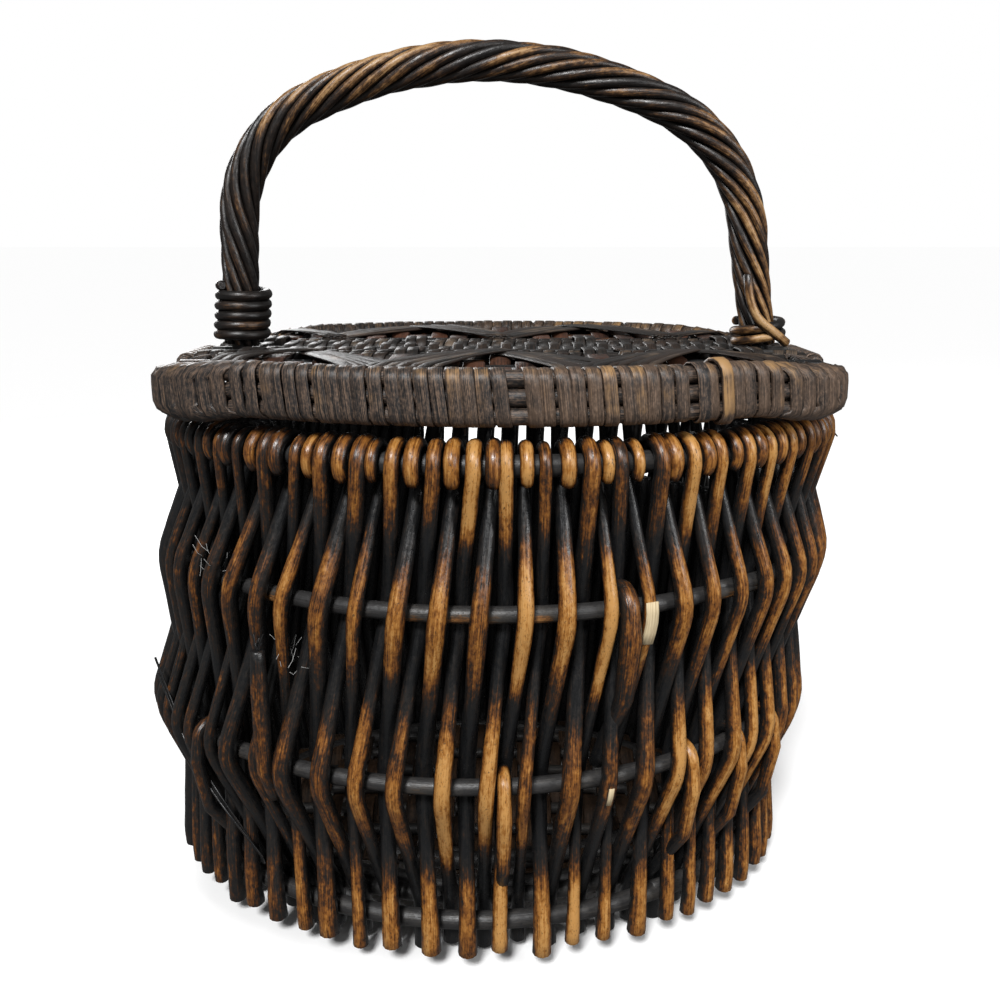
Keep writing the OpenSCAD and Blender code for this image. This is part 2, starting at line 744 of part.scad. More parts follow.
// The border's inner face runs in straight steps, which lie a little inside its true arcs
inner_front_r = (front_r - border_w) * cos((90 - corner_end) / front_steps) - seat_gap;
inner_corner_r = (lid_corner_r - border_w) * cos((90 + corner_end) / corner_steps / 2) - seat_gap;
function lid_inner_x(y) = y < corner_y + inner_corner_r * sin(corner_end)
    ? corner_x + sqrt(inner_corner_r ^ 2 - max(0, y - corner_y) ^ 2)
    : sqrt(inner_front_r ^ 2 - (y + front_centre_y) ^ 2);
function lid_inner_y(x) = sqrt(inner_front_r ^ 2 - x ^ 2) - front_centre_y;
module lid_ribs() {
    color("#5b3a22")
    for (y = ribs_y)
        x_rod(-y, rib_z, lid_inner_x(y + rib_d / 2), rib_d);
}
lid_splint_rows = floor((corner_x - lid_splint_w) / lid_splint_pitch);
module lid_splints() {
    color("#6a4530")
    for (k = [-lid_splint_rows : lid_splint_rows]) {
        x = k * lid_splint_pitch;
        from = -lid_inner_y(abs(x) + lid_splint_w / 2);
        rods = [for (j = [rib_count - 1 : -1 : 0]) if (ribs_y[j] < -from - rib_d) -ribs_y[j]];
        woven_splint(
            x, rib_z, rods, rib_d, lid_splint_w, skein_t,
            (k + len(rods)) % 2 == 0 ? 1 : -1, from, -lid_hinge_rod_y - loop_r - loop_room
        );
    }
}

// Fans of flat skeins zigzag between the hinge rod and the border, in two layers
skeins_in_fan = 5;
fan_tight = 2.2;
fan_open = 6.2;
fan_layer_gap = 0.2;
fan_top_out = 1;
fan_top_y = lid_hinge_rod_y + fan_top_out;
fan_side_in = 14;
fan_side_x = corner_x - fan_side_in;
fan_side_out = 16;
fan_side_y = corner_y + fan_side_out;
module fan(peak_x, foot_x, foot_y) {
    for (i = [0 : skeins_in_fan - 1]) {
        k = i - (skeins_in_fan - 1) / 2;
        a = [peak_x + k * fan_tight, -fan_top_y];
        b = [foot_x + k * fan_open, -foot_y];
        side = unit([a[1] - b[1], b[0] - a[0]]) * skein_w / 2;
        polygon([a + side, a - side, b - side, b + side]);
    }
}
module fan_layer(z, lean) {
    translate([0, 0, z])
    linear_extrude(height = skein_t)
    intersection() {
        union() {
            for (p = [-1, 0, 1])
                if (p != lean)
                    fan(p * fan_pitch, (p + lean / 2) * fan_pitch, lid_half_d);
            fan(lean * fan_pitch, lean * fan_side_x, fan_side_y);
        }
        translate([0, front_centre_y]) circle(r = inner_front_r, $fn = 360);
        translate([-corner_x, -lid_half_d]) square([2 * corner_x, lid_half_d]);
    }
}
module lid_skeins() {
    color("#2b2a2c") {
        fan_layer(bridge_top + seat_gap, 1);
        fan_layer(bridge_top + seat_gap + skein_t + fan_layer_gap, -1);
    }
}

module front_lid_border() { on_rim() lid_border(); }
module front_lid_hinge_rod() { on_rim() lid_hinge_rod(); }
module front_lid_loops() { on_rim() lid_loops(); }
module front_lid_ribs() { on_rim() lid_ribs(); }
module front_lid_splints() { on_rim() lid_splints(); }
module front_lid_skeins() { on_rim() lid_skeins(); }
module rear_lid_border() { on_rim() mirror([0, 1, 0]) lid_border(); }
module rear_lid_hinge_rod() { on_rim() mirror([0, 1, 0]) lid_hinge_rod(); }
module rear_lid_loops() { on_rim() mirror([0, 1, 0]) lid_loops(); }
module rear_lid_ribs() { on_rim() mirror([0, 1, 0]) lid_ribs(); }
module rear_lid_splints() { on_rim() mirror([0, 1, 0]) lid_splints(); }
module rear_lid_skeins() { on_rim() mirror([0, 1, 0]) lid_skeins(); }

rim_hoop();
upper_hoop();
lower_hoop();
base_hoop();
outer_stakes();
inner_stakes();
base_frame_hoop();
base_sticks();
base_splints();
handle_bow();
handle_strands();
left_foot_binding();
right_foot_binding();
bridge_front_rod();
bridge_rear_rod();
bridge_inner_rods();
bridge_splints();
bridge_left_end();
bridge_right_end();
front_lid_border();
front_lid_hinge_rod();
front_lid_loops();
front_lid_ribs();
front_lid_splints();
front_lid_skeins();
rear_lid_border();
rear_lid_hinge_rod();
rear_lid_loops();
rear_lid_ribs();
rear_lid_splints();
rear_lid_skeins();
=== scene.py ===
# %% [markdown]
# # A dark willow basket with two lid flaps
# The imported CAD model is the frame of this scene. Every piece that is made here takes its place from
# the frame's own boxes, so nothing has to be fitted by eye. The frame is loaded first, because its box
# is the size that the finished basket has to keep.

# %% Load the frame
import math
import random
from collections import namedtuple

import bmesh
import bpy
from mathutils import Matrix, Vector, noise


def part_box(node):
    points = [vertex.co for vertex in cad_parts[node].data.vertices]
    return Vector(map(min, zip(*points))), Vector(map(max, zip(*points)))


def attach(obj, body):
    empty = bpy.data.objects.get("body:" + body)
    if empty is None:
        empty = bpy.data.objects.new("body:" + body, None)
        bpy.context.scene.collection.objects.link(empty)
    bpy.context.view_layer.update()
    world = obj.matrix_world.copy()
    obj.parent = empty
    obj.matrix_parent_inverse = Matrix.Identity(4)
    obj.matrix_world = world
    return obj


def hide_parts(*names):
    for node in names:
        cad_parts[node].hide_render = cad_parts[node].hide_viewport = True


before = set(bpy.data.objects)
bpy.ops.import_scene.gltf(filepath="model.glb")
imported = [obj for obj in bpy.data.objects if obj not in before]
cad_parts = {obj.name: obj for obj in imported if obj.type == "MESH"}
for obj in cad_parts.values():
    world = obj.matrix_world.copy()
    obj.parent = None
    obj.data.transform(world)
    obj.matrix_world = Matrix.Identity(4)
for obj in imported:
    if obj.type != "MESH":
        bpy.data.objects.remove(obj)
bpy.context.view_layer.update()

# %% [markdown]
# ## The oval
# On the real basket every hoop is a rod bent to an oval. The same oval could be a squashed circle, but
# a squashed circle's ends are too pointed. Four arcs are closer to how a rod bends: two round ends and
# two long sides that meet them without a corner. One function finds a place on such an oval from the
# share of the way round, so that stakes can be spaced evenly along the rod and not along an angle. The
# basket has settled to its left with age, so each hoop also keeps the X of its own middle.

# %% Hoops and places on them
END_CENTRE = 0.084
JOINT_SWELL = 0.0003
Z = Vector((0, 0, 1))
Hoop = namedtuple("Hoop", "x half_w half_d z thick")


def read_hoop(node):
    """The middle, oval, height and rod thickness of one of the frame's hoops."""
    low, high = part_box(node)
    thick = high.z - low.z - JOINT_SWELL
    half = (high - low - Vector((thick, thick, 0))) / 2
    return Hoop((low.x + high.x) / 2, half.x, half.y, (low.z + high.z) / 2, thick)


def oval_arcs(hoop):
    """Radius of the end arcs, radius of the side arcs, and the angle at which they meet."""
    end_r = hoop.half_w - END_CENTRE
    side_r = (END_CENTRE**2 + hoop.half_d**2 - end_r**2) / (2 * (hoop.half_d - end_r))
    return end_r, side_r, math.atan2(side_r - hoop.half_d, END_CENTRE)


def oval_length(hoop):
    """The way round the oval."""
    end_r, side_r, joint = oval_arcs(hoop)
    return 4 * (end_r * joint + side_r * (math.pi / 2 - joint))


def oval_at(hoop, share):
    """A place on the oval and its outward direction, at a share of the way round from +X."""
    end_r, side_r, joint = oval_arcs(hoop)
    quarter, part = divmod(share % 1 * 4, 1)
    run = (part if quarter % 2 == 0 else 1 - part) * oval_length(hoop) / 4
    if run < end_r * joint:
        angle = run / end_r
        x, y = END_CENTRE + end_r * math.cos(angle), end_r * math.sin(angle)
    else:
        angle = joint + (run - end_r * joint) / side_r
        x, y = side_r * math.cos(angle), hoop.half_d - side_r + side_r * math.sin(angle)
    sx = 1 if quarter in (0, 3) else -1
    sy = 1 if quarter < 2 else -1
    return Vector((hoop.x + sx * x, sy * y, 0)), Vector((sx * math.cos(angle), sy * math.sin(angle), 0))


# %% The four hoops
HOOP_NAMES = ("rim", "upper", "lower", "base")
rim, upper, lower, base = (read_hoop(name + "_hoop") for name in HOOP_NAMES)
for name, hoop in zip(HOOP_NAMES, (rim, upper, lower, base)):
    print(name, "hoop:", [round(v, 4) for v in hoop], "round", round(oval_length(hoop), 3))

# %% [markdown]
# ## One way to make every rod and skein
# Everything on this basket is a long thin thing that bends: round rods, and skeins, which are rods split
# and shaved flat. A curve with a bevel would make the shape, but it can't say where a rod is worn.
# So each rod starts as a circle of vertices that is extruded from station to station, as a smith would
# draw out wire. A station holds the place, two directions across the rod, two half sizes and how much
# the stain has rubbed off there, which some pieces mix with painted light and shade. The second direction
# points to the outward side, and the rub value is negative where it is the back of the rod that faces out.

# %% Stations
Station = namedtuple("Station", "spot across up wide thick rub")
END_LENGTH = 0.25
END_NARROWS = 0.72


def placing(station):
    """The matrix that takes a unit circle to the station."""
    ahead = station.across.cross(station.up)
    columns = (station.across * station.wide, station.up * station.thick, ahead)
    matrix = Matrix(columns).transposed().to_4x4()
    matrix.translation = station.spot
    return matrix


def stations_along(rows):
    """Stations from rows of (spot, outward direction, half width, half thickness, rub)."""
    made = []
    last = len(rows) - 1
    for i, (spot, out, wide, thick, rub) in enumerate(rows):
        ahead = (rows[min(i + 1, last)][0] - rows[max(i - 1, 0)][0]).normalized()
        up = (out - ahead * out.dot(ahead)).normalized()
        made.append(Station(spot, up.cross(ahead), up, wide, thick, rub))
    return made


def blunted(stations):
    """The same rod with its cut ends slightly rounded."""
    first, last = stations[0], stations[-1]
    tips = []
    for cut, way in ((first, -1), (last, 1)):
        ahead = cut.across.cross(cut.up) * cut.thick * END_LENGTH
        narrow = (cut.wide * END_NARROWS, cut.thick * END_NARROWS)
        tips.append(cut._replace(spot=cut.spot + ahead * way, wide=narrow[0], thick=narrow[1]))
    return [tips[0], *stations, tips[1]]


# %% [markdown]
# ## One rod
# A rod's circle is extruded along its stations and turned to each. A circle that is pushed towards a
# square makes a flat skein. The mesh carries three layers: the rub layer says how worn a place is, and in
# some pieces also where painted light and shade fall, "tone" gives each rod its own shade, and "grain"
# holds places along and across the rod, so that streaks can follow its bends. "tone" also moves the
# grain, or two rods would show the same streaks.

# %% A rod from a circle
SKEIN = 0.4
FLANK_WEAR = 0.22


def new_work():
    """An empty bmesh with the three layers that every finish reads."""
    work = bmesh.new()
    work.verts.layers.float.new("rub")
    work.verts.layers.float.new("tone")
    work.verts.layers.float_vector.new("grain")
    return work


def lay_rod(work, rows, sides=12, tone=0.5, back_rub=0.2, square=1.0):
    """Adds one rod to the work, extruded from a circle along its rows."""
    stations = blunted(stations_along(rows))
    rod = new_work()
    rub = rod.verts.layers.float["rub"]
    shade = rod.verts.layers.float["tone"]
    grain = rod.verts.layers.float_vector["grain"]
    spoke = rod.verts.layers.float_vector.new("spoke")
    ring = bmesh.ops.create_circle(rod, cap_ends=False, segments=sides, radius=1)["verts"]
    for v in ring:
        v.co = [math.copysign(abs(c) ** square, c) for c in v.co]
        v[spoke] = v.co
    edges = list(rod.edges)
    placed = Matrix.Identity(4)
    run = 0
    home = Vector((tone * 37.0, tone * 11.0, tone * 23.0))
    for i, station in enumerate(stations):
        if i:
            geom = bmesh.ops.extrude_edge_only(rod, edges=edges)["geom"]
            ring = [e for e in geom if isinstance(e, bmesh.types.BMVert)]
            edges = [e for e in geom if isinstance(e, bmesh.types.BMEdge) and e.is_boundary]
            run += (station.spot - stations[i - 1].spot).length
        goal = placing(station)
        bmesh.ops.transform(rod, matrix=goal @ placed.inverted(), verts=ring)
        placed = goal
        for v in ring:
            outwards = v[spoke].y if station.rub > 0 else -v[spoke].y
            facing = min(1, max(0, outwards * 0.85 + FLANK_WEAR))
            v[rub] = abs(station.rub) * (back_rub + (1 - back_rub) * facing)
            v[shade] = tone
            v[grain] = home + Vector((run, v[spoke].x * station.wide, v[spoke].y * station.thick))
    bmesh.ops.holes_fill(rod, edges=rod.edges, sides=0)
    bmesh.ops.recalc_face_normals(rod, faces=rod.faces)
    rod.verts.layers.float_vector.remove(spoke)
    scrap = bpy.data.meshes.new("scrap")
    rod.to_mesh(scrap)
    rod.free()
    work.from_mesh(scrap)
    bpy.data.meshes.remove(scrap)


def lay_skein(work, rows, tone, square=SKEIN):
    """Adds one flat skein to the work."""
    lay_rod(work, rows, sides=8, tone=tone, square=square)


sample = new_work()
lay_rod(sample, [(Vector((0.1 * k, 0, 0)), Z, 0.004, 0.004, 0) for k in range(2)])
print("a straight rod has", len(sample.faces), "faces")
sample.free()

# %% Smooth changes
def ease(low, high, value):
    """0 below low, 1 above high, and a smooth change between them."""
    t = min(1, max(0, (value - low) / (high - low)))
    return t * t * (3 - 2 * t)


def drift(seed, along):
    """Smooth noise from -1 to 1 along a line; each seed is another line."""
    return noise.noise(Vector((seed * 7.31, along, seed * 3.17)))


print("ease halfway:", ease(0, 1, 0.5), "and a drift:", [round(drift(1, k * 0.4), 2) for k in range(4)])

# %% A finished piece
def put_piece(name, work, finish, body, slot, *stands_for):
    """Makes the work an object of the scene that rides on a body."""
    for face in work.faces:
        face.smooth = len(face.verts) == 4
    mesh = bpy.data.meshes.new(name)
    work.to_mesh(mesh)
    work.free()
    piece = bpy.data.objects.new(name, mesh)
    bpy.context.scene.collection.objects.link(piece)
    mesh.materials.append(finish)
    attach(piece, body)
    if stands_for:
        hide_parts(*stands_for)
    print(name, "has", len(mesh.polygons), "faces")


# %% [markdown]
# ## Finishes as sums on sockets
# A finish is a network of nodes, and most of it is arithmetic: a mask times a colour, one minus a mask.
# Placing each Math node by hand hides that arithmetic, so a small class wraps a node's output and turns
# the signs of Python into Math nodes. Everything else comes from one method that takes a node's type,
# its settings and what its sockets get.

# %% Signals
class Signal:
    """An output of a node. A sum on it adds a Math node to the same finish."""

    def __init__(self, finish, socket):
        self.finish = finish
        self.socket = socket

    def maths(self, operation, first, second):
        """A Math node on two values or signals."""
        return self.finish.node("ShaderNodeMath", {"operation": operation}, {0: first, 1: second})

    def __add__(self, other):
        return self.maths("ADD", self, other)

    def __sub__(self, other):
        return self.maths("SUBTRACT", self, other)

    def __rsub__(self, other):
        return self.maths("SUBTRACT", other, self)

    def __mul__(self, other):
        return self.maths("MULTIPLY", self, other)

    __radd__ = __add__
    __rmul__ = __mul__


# %% Finishes
class Finish:
    """A material or a world, with short ways to add the nodes that this basket needs."""

    def __init__(self, name, family=bpy.data.materials, shader="Principled BSDF"):
        self.made = family.new(name)
        self.made.use_nodes = True
        self.tree = self.made.node_tree
        self.shader = self.tree.nodes[shader]

    def feed(self, socket, value):
        """Links a signal to a socket, or sets the socket's own value."""
        if isinstance(value, Signal):
            self.tree.links.new(value.socket, socket)
        else:
            socket.default_value = value

    def node(self, kind, settings=None, inputs=None, output=0):
        """Adds a node: its settings first, then the values or links of its sockets."""
        made = self.tree.nodes.new(kind)
        for key, value in (settings or {}).items():
            if key == "stops":
                ramp = made.color_ramp
                while len(ramp.elements) < len(value):
                    ramp.elements.new(1)
                for stop, (place, colour) in zip(ramp.elements, value):
                    stop.position = place
                    stop.color = (*colour, 1)
            else:
                setattr(made, key, value)
        for key, value in (inputs or {}).items():
            self.feed(made.inputs[key], value)
        return Signal(self, made.outputs[output])

    def layer(self, name):
        """A layer of numbers that the mesh carries."""
        return self.node("ShaderNodeAttribute", {"attribute_name": name}, output="Fac")

    def grain(self, name, stretch):
        """The layer of places along and across a rod, stretched for a pattern."""
        place = self.node("ShaderNodeAttribute", {"attribute_name": name}, output="Vector")
        return self.node("ShaderNodeVectorMath", {"operation": "MULTIPLY"}, {0: place, 1: stretch})

    def noise(self, place, detail=2, rough=0.5):
        """A cloudy pattern on stretched places."""
        inputs = {"Vector": place, "Scale": 1, "Detail": detail, "Roughness": rough}
        return self.node("ShaderNodeTexNoise", None, inputs)

    def ramp(self, signal, stops):
        """Colours along a signal."""
        return self.node("ShaderNodeValToRGB", {"stops": stops}, {"Fac": signal})

    def band(self, signal, low, high):
        """0 where the signal is below low, 1 above high."""
        settings = {"interpolation_type": "SMOOTHSTEP"}
        inputs = {"Value": signal, "From Min": low, "From Max": high}
        return self.node("ShaderNodeMapRange", settings, inputs)

    def mixed(self, mask, low, high):
        """One colour where the mask is 0 and another where it is 1."""
        settings = {"data_type": "RGBA"}
        return self.node("ShaderNodeMix", settings, {0: mask, 6: low, 7: high}, output=2)

    def bump(self, height, strength, distance):
        """Small heights, as a change of the normal."""
        inputs = {"Height": height, "Strength": strength, "Distance": distance}
        return self.node("ShaderNodeBump", None, inputs)

    def shade(self, **inputs):
        """Feeds the shader and hands over what was made."""
        for key, value in inputs.items():
            self.feed(self.shader.inputs[key.replace("_", " ")], value)
        return self.made


# %% [markdown]
# ## The stained willow
# The rods were dipped in a nearly black stain, and hands and shelves have rubbed it off where a rod
# bulges. Under it the willow is amber. One finish does both, because the rub layer says how bare each
# place is. That layer also carries painted shade, less amber where a stake's face turns down, and painted
# light, more amber where a handle strand faces the lamp. Long streaks follow the grain, and small black
# pits stay in the bark. A painted picture could show all that, but it would repeat, and the noise on the
# grain doesn't.

# %% Round rods
PIT = (0.004, 0.0035, 0.003, 1)


def stained_willow(name, stops, gloss=0.33, streak=0.9, pits=0.75):
    """A stained rod: dark where the rub layer is 0 and amber where it is 1; that layer holds wear with some
    painted light and shade.
    """
    f = Finish(name)
    rub = f.layer("rub")
    tone = f.layer("tone")
    fibres = f.noise(f.grain("grain", (42, 1500, 1500)), 3, 0.6)
    patches = f.noise(f.grain("grain", (95, 260, 260)), 3, 0.55)
    mottle = f.noise(f.grain("grain", (330, 620, 620)), 3, 0.65)
    # The rub layer holds real wear plus painted light and shade set where the rods are laid; it moves the
    # ramp towards amber.
    worn_and_lit = rub + (patches - 0.5) * 0.8 + (fibres - 0.5) * streak + (mottle - 0.5) * 0.8
    colour = f.ramp(worn_and_lit + (tone - 0.5) * 0.12, stops)
    dirt = f.noise(f.grain("grain", (900, 1700, 1700)), 2)
    specks = f.band(dirt, 0.60, 0.70) * pits
    colour = f.mixed(specks, colour, PIT)
    height = fibres * 0.5 + patches * 0.3 + mottle * 0.6
    return f.shade(
        Base_Color=colour,
        Roughness=gloss + (fibres - 0.5) * 0.3 + (mottle - 0.5) * 0.5 + specks * 0.2,
        Normal=f.bump(height, 0.45, 0.0007),
        Specular_IOR_Level=0.5,
    )


BARK = [
    (0.0, (0.0075, 0.0078, 0.0085)),
    (0.26, (0.0140, 0.0115, 0.0100)),
    (0.40, (0.034, 0.015, 0.007)),
    (0.56, (0.125, 0.043, 0.009)),
    (0.78, (0.29, 0.118, 0.022)),
    (1.0, (0.46, 0.235, 0.070)),
]
GREY_ROD = [
    (0.0, (0.026, 0.025, 0.025)),
    (0.4, (0.048, 0.043, 0.038)),
    (0.6, (0.060, 0.038, 0.022)),
    (0.8, (0.19, 0.080, 0.024)),
    (1.0, (0.36, 0.17, 0.055)),
]
TWISTED = [
    (0.0, (0.0060, 0.0050, 0.0045)),
    (0.35, (0.014, 0.0085, 0.006)),
    (0.55, (0.055, 0.026, 0.010)),
    (0.75, (0.20, 0.100, 0.035)),
    (1.0, (0.40, 0.24, 0.105)),
]
stake_finish = stained_willow("stained_stake", BARK)
hoop_finish = stained_willow("stained_hoop", GREY_ROD, gloss=0.46)
handle_finish = stained_willow("twisted_willow", TWISTED, gloss=0.40)
base_finish = stained_willow("base_stick", GREY_ROD, gloss=0.5)
print("finishes of round rods:", [m.name for m in bpy.data.materials])

# %% [markdown]
# ## The stained skeins
# A skein is split wood, so its face shows fine lines and not bark. It has taken the stain unevenly,
# grey in one turn and brown in the next. "tone" picks between the two, flecks of a paler shade follow
# the lines, and worn edges turn gold. Faces of a bound turn that point to the key lamp turn gold too,
# which is a painted highlight.

# %% Flat skeins
def stained_skein(name, dark, warm, gold, gloss=0.55, fleck=0.5):
    """A flat skein: fine lines run along it, tone picks its colour, and the rub layer its gold places,
    which are worn edges and painted highlights.
    """
    f = Finish(name)
    rub = f.layer("rub")
    tone = f.layer("tone")
    lines = f.noise(f.grain("grain", (30, 2600, 2600)), 4, 0.7)
    clouds = f.noise(f.grain("grain", (120, 200, 200)), 3, 0.6)
    mottle = f.noise(f.grain("grain", (500, 900, 900)), 3, 0.65)
    warmth = f.band(tone + (clouds - 0.5) * 1.2, 0.2, 0.9)
    colour = f.mixed(warmth, dark, warm)
    pale = tuple(v * 2.6 for v in warm[:3]) + (1,)
    colour = f.mixed(f.band(lines + (mottle - 0.5) * 0.6, 0.42, 0.74) * fleck, colour, pale)
    colour = f.mixed(f.band(lines + (clouds - 0.5) * 0.5, 0.46, 0.30) * 0.75, colour, PIT)
    worn_and_lit = rub + (lines - 0.5) * 1.2 + (clouds - 0.5) * 0.9
    # Gold where the rub layer is high: real wear, and on bound turns a painted highlight on faces towards
    # the key lamp.
    colour = f.mixed(f.band(worn_and_lit, 0.55, 1.15), colour, gold)
    return f.shade(
        Base_Color=colour,
        Roughness=gloss + (lines - 0.5) * 0.4 + (mottle - 0.5) * 0.3,
        Normal=f.bump(lines * 0.7 + mottle * 0.5, 0.5, 0.0005),
        Specular_IOR_Level=0.4,
    )


border_finish = stained_skein(
    "border_skein", (0.019, 0.0185, 0.019, 1), (0.074, 0.049, 0.034, 1), (0.36, 0.21, 0.09, 1), 0.42, 1.0
)
fan_finish = stained_skein(
    "fan_skein", (0.010, 0.0095, 0.009, 1), (0.022, 0.014, 0.010, 1), (0.12, 0.085, 0.058, 1), 0.45
)
splint_finish = stained_skein(
    "lid_splint", (0.016, 0.010, 0.008, 1), (0.060, 0.024, 0.013, 1), (0.12, 0.052, 0.024, 1), 0.5
)
floor_splint_finish = stained_skein(
    "base_splint", (0.015, 0.010, 0.007, 1), (0.055, 0.030, 0.016, 1), (0.14, 0.08, 0.04, 1), 0.55
)

# %% Bare wood and cobweb
straw = Finish("bare_straw")
straw_lines = straw.noise(straw.grain("grain", (60, 2200, 2200)), 3, 0.6)
straw_finish = straw.shade(
    Base_Color=straw.ramp(straw_lines, [(0.3, (0.36, 0.26, 0.14)), (0.7, (0.72, 0.60, 0.39))]),
    Roughness=0.7,
    Normal=straw.bump(straw_lines, 0.4, 0.0005),
)
cobweb_finish = Finish("cobweb").shade(Base_Color=(0.45, 0.45, 0.44, 1), Roughness=0.9)
print("finishes:", [m.name for m in bpy.data.materials])

# %% [markdown]
# ## The stakes of the wall
# A maker pushes pairs of stakes through the base and weaves them past four hoops. One of a pair goes
# in front of a hoop where the other goes behind, and both are bent down over the rim. The frame has
# them as straight five-sided rods. Here each stake follows the same route with its bends rounded. It
# swells where it bulges past a hoop and sways a little sideways. Below the rim the stakes have also
# spread towards the basket's two ends, and a sine round the hoop makes that spread.

# %% Chains with rounded corners
def rounded(corners, trim, bends=4):
    """Rows of numbers along a chain of corners, with each corner rounded off."""
    def blend(a, b, t):
        return [p + (q - p) * t for p, q in zip(a, b)]

    def gap(a, b):
        return math.dist(a[:3], b[:3])

    rows = [corners[0]]
    for before, corner, after in zip(corners, corners[1:], corners[2:]):
        enter = blend(corner, before, min(0.45, trim / gap(corner, before)))
        leave = blend(corner, after, min(0.45, trim / gap(corner, after)))
        for step in range(bends + 1):
            t = step / bends
            rows.append(blend(blend(enter, corner, t), blend(corner, leave, t), t))
    rows.append(corners[-1])
    return rows


def refined(rows, step):
    """The same rows with no two further apart than a step."""
    fine = [rows[0]]
    for a, b in zip(rows, rows[1:]):
        count = max(1, math.ceil(math.dist(a[:3], b[:3]) / step))
        for k in range(1, count + 1):
            fine.append([p + (q - p) * k / count for p, q in zip(a, b)])
    return fine


square_corner = [[0.0, 0.0, 0.0], [0.1, 0.0, 0.0], [0.1, 0.1, 0.0]]
print("a corner becomes", len(rounded(square_corner, 0.01)), "rows")

# %% Places beside a hoop
PAIRS = 56
STAKE_R = 0.0042
CROSS_R = 0.0039
SLACK = 0.0010
CLEAR = 0.0004
SPREAD = {rim: 0.0, upper: 0.009, lower: 0.013, base: 0.008}
BACK_SPREAD = 0.25
way_round = {hoop: oval_length(hoop) for hoop in SPREAD}


def hoop_row(hoop, share, z, offset, proud, radius, shift=0.0):
    """A row of a stake: place, outward direction, radius, how proud it stands, and its turn over."""
    spread = -SPREAD[hoop] * math.sin(2 * math.tau * share) * (BACK_SPREAD if share < 0.5 else 1)
    spot, out = oval_at(hoop, share + (spread + shift) / way_round[hoop])
    return [*(spot + out * offset + Z * z), *out, radius, proud, 1]


def over_hoop(hoop, share, side, wrap, angle, radius, shift=0.0):
    """A row of a rod that bends over a hoop, at an angle from the side where it comes up."""
    rise, reach = math.sin(angle), math.cos(angle)
    row = hoop_row(hoop, share, hoop.z + wrap * rise, side * wrap * reach, 0, radius, shift)
    out = Vector(row[3:6]) * reach + Z * rise * side
    return [*row[:3], *out, radius, 0.2 * rise + side * reach, side]


def at_front(share):
    """Whether a share of the way round is on the side that the photo shows."""
    return 0.54 < share < 0.96


def in_slots(foot):
    """Whether a stake is one of those behind the white slots under the lid."""
    return foot[1] > 0 and -0.045 < foot[0] < 0.12


print("stakes are", round(500 * way_round[rim] / PAIRS, 1), "mm apart on the rim")

# %% The route of a stake
THIN_CROSS = 0.86
STOUT_CROSS = 1.12
TIP_R = 0.0034
TIP_R_MOST = 0.0037


def stake_rows(share, side, foot_z, stout, sway, tail, seed):
    """Rows of one stake, from its foot to the end of its tail."""
    thick = STAKE_R * stout
    tip = min(TIP_R_MOST, TIP_R * stout)
    wrap = rim.thick / 2 + tip + 0.0003
    turns = ((base, -side), (lower, side), (upper, -side))
    passes = []
    for (hoop, way), shift in zip(turns, sway):
        off = hoop.thick / 2 + thick + CLEAR + SLACK
        passes.append(hoop_row(hoop, share, hoop.z, way * off, way, thick, shift))
    foot_off = -side * (base.thick / 2 + thick + CLEAR)
    foot = hoop_row(base, share, foot_z, foot_off, -side, thick * 1.08, sway[0])
    neck = hoop_row(rim, share, rim.z - 0.002, side * wrap, side, tip * 1.04, sway[3])
    chain = [foot, passes[0]]
    for k, (a, b) in enumerate(zip(passes, [*passes[1:], neck])):
        middle = [(p + q) / 2 for p, q in zip(a, b)]
        thin = at_front(share) or (k == 2 and in_slots(foot))
        middle[6] = CROSS_R * stout * (THIN_CROSS if thin else STOUT_CROSS)
        chain += [middle, b]
    rows = rounded(chain, 0.010)
    for angle in range(15, 181 if side > 0 else 226, 15):
        rows.append(over_hoop(rim, share, side, wrap, math.radians(angle), tip, sway[3]))
    if side > 0:
        end = over_hoop(rim, share, side, wrap, math.pi, tip * 0.9, sway[3])
        end[2] = rim.z - tail
        rows.append(end)
    rows = refined(rows, 0.007)
    for i, row in enumerate(rows):
        row[6] *= 1 + 0.06 * drift(seed, i * 0.45)
    return rows


# %% Wear and painted shade along a stake
def worn_and_shaded_rows(rows, rod_rub, seed):
    """Rows for lay_rod: the stain is rubbed off where a stake stands proud of the wall, with painted shade
    where its outer face turns down.
    """
    made = []
    for x, y, z, ox, oy, oz, radius, proud, flip in rows:
        side_fade = 1 - 0.45 * ease(0.05, 0.165, abs(x - rim.x)) * (1.5 if x < 0 else 0.3)
        edge = 0.12 + 0.5 * drift(seed + 9, z * 22)
        bare = ease(edge - 0.5, edge + 0.55, proud) * rod_rub * side_fade
        # Painted shade: the amber is cut by up to half where the stake's outer face turns downwards, and
        # near the rim's top the cut starts at a smaller downward turn.
        bare *= 1 - 0.5 * ease(0.25, 1.0, -oz * flip + 0.55 * ease(0.253, 0.259, z))
        bare *= 1 if flip > 0 else -1
        made.append((Vector((x, y, z)), Vector((ox, oy, oz)), radius, radius, bare))
    return made


# %% How the stakes lean and vary
SWAY = 0.0018
UNEVEN = 0.0014
SLOT_LEAN = 0.0019
HELD = 0.15


def sways(rng, seed, side, share):
    """How far a stake leans sideways at each of its four hoops, in metres."""
    loose = 1.0 if at_front(share) else HELD
    shifts = []
    for k in range(4):
        shifts.append(loose * (SWAY * drift(seed * 0.11, k * 2.0) + rng.uniform(-UNEVEN, UNEVEN)))
    if in_slots(oval_at(base, share)[0]):
        shifts[2] += side * SLOT_LEAN
        shifts[3] += side * SLOT_LEAN
    return shifts


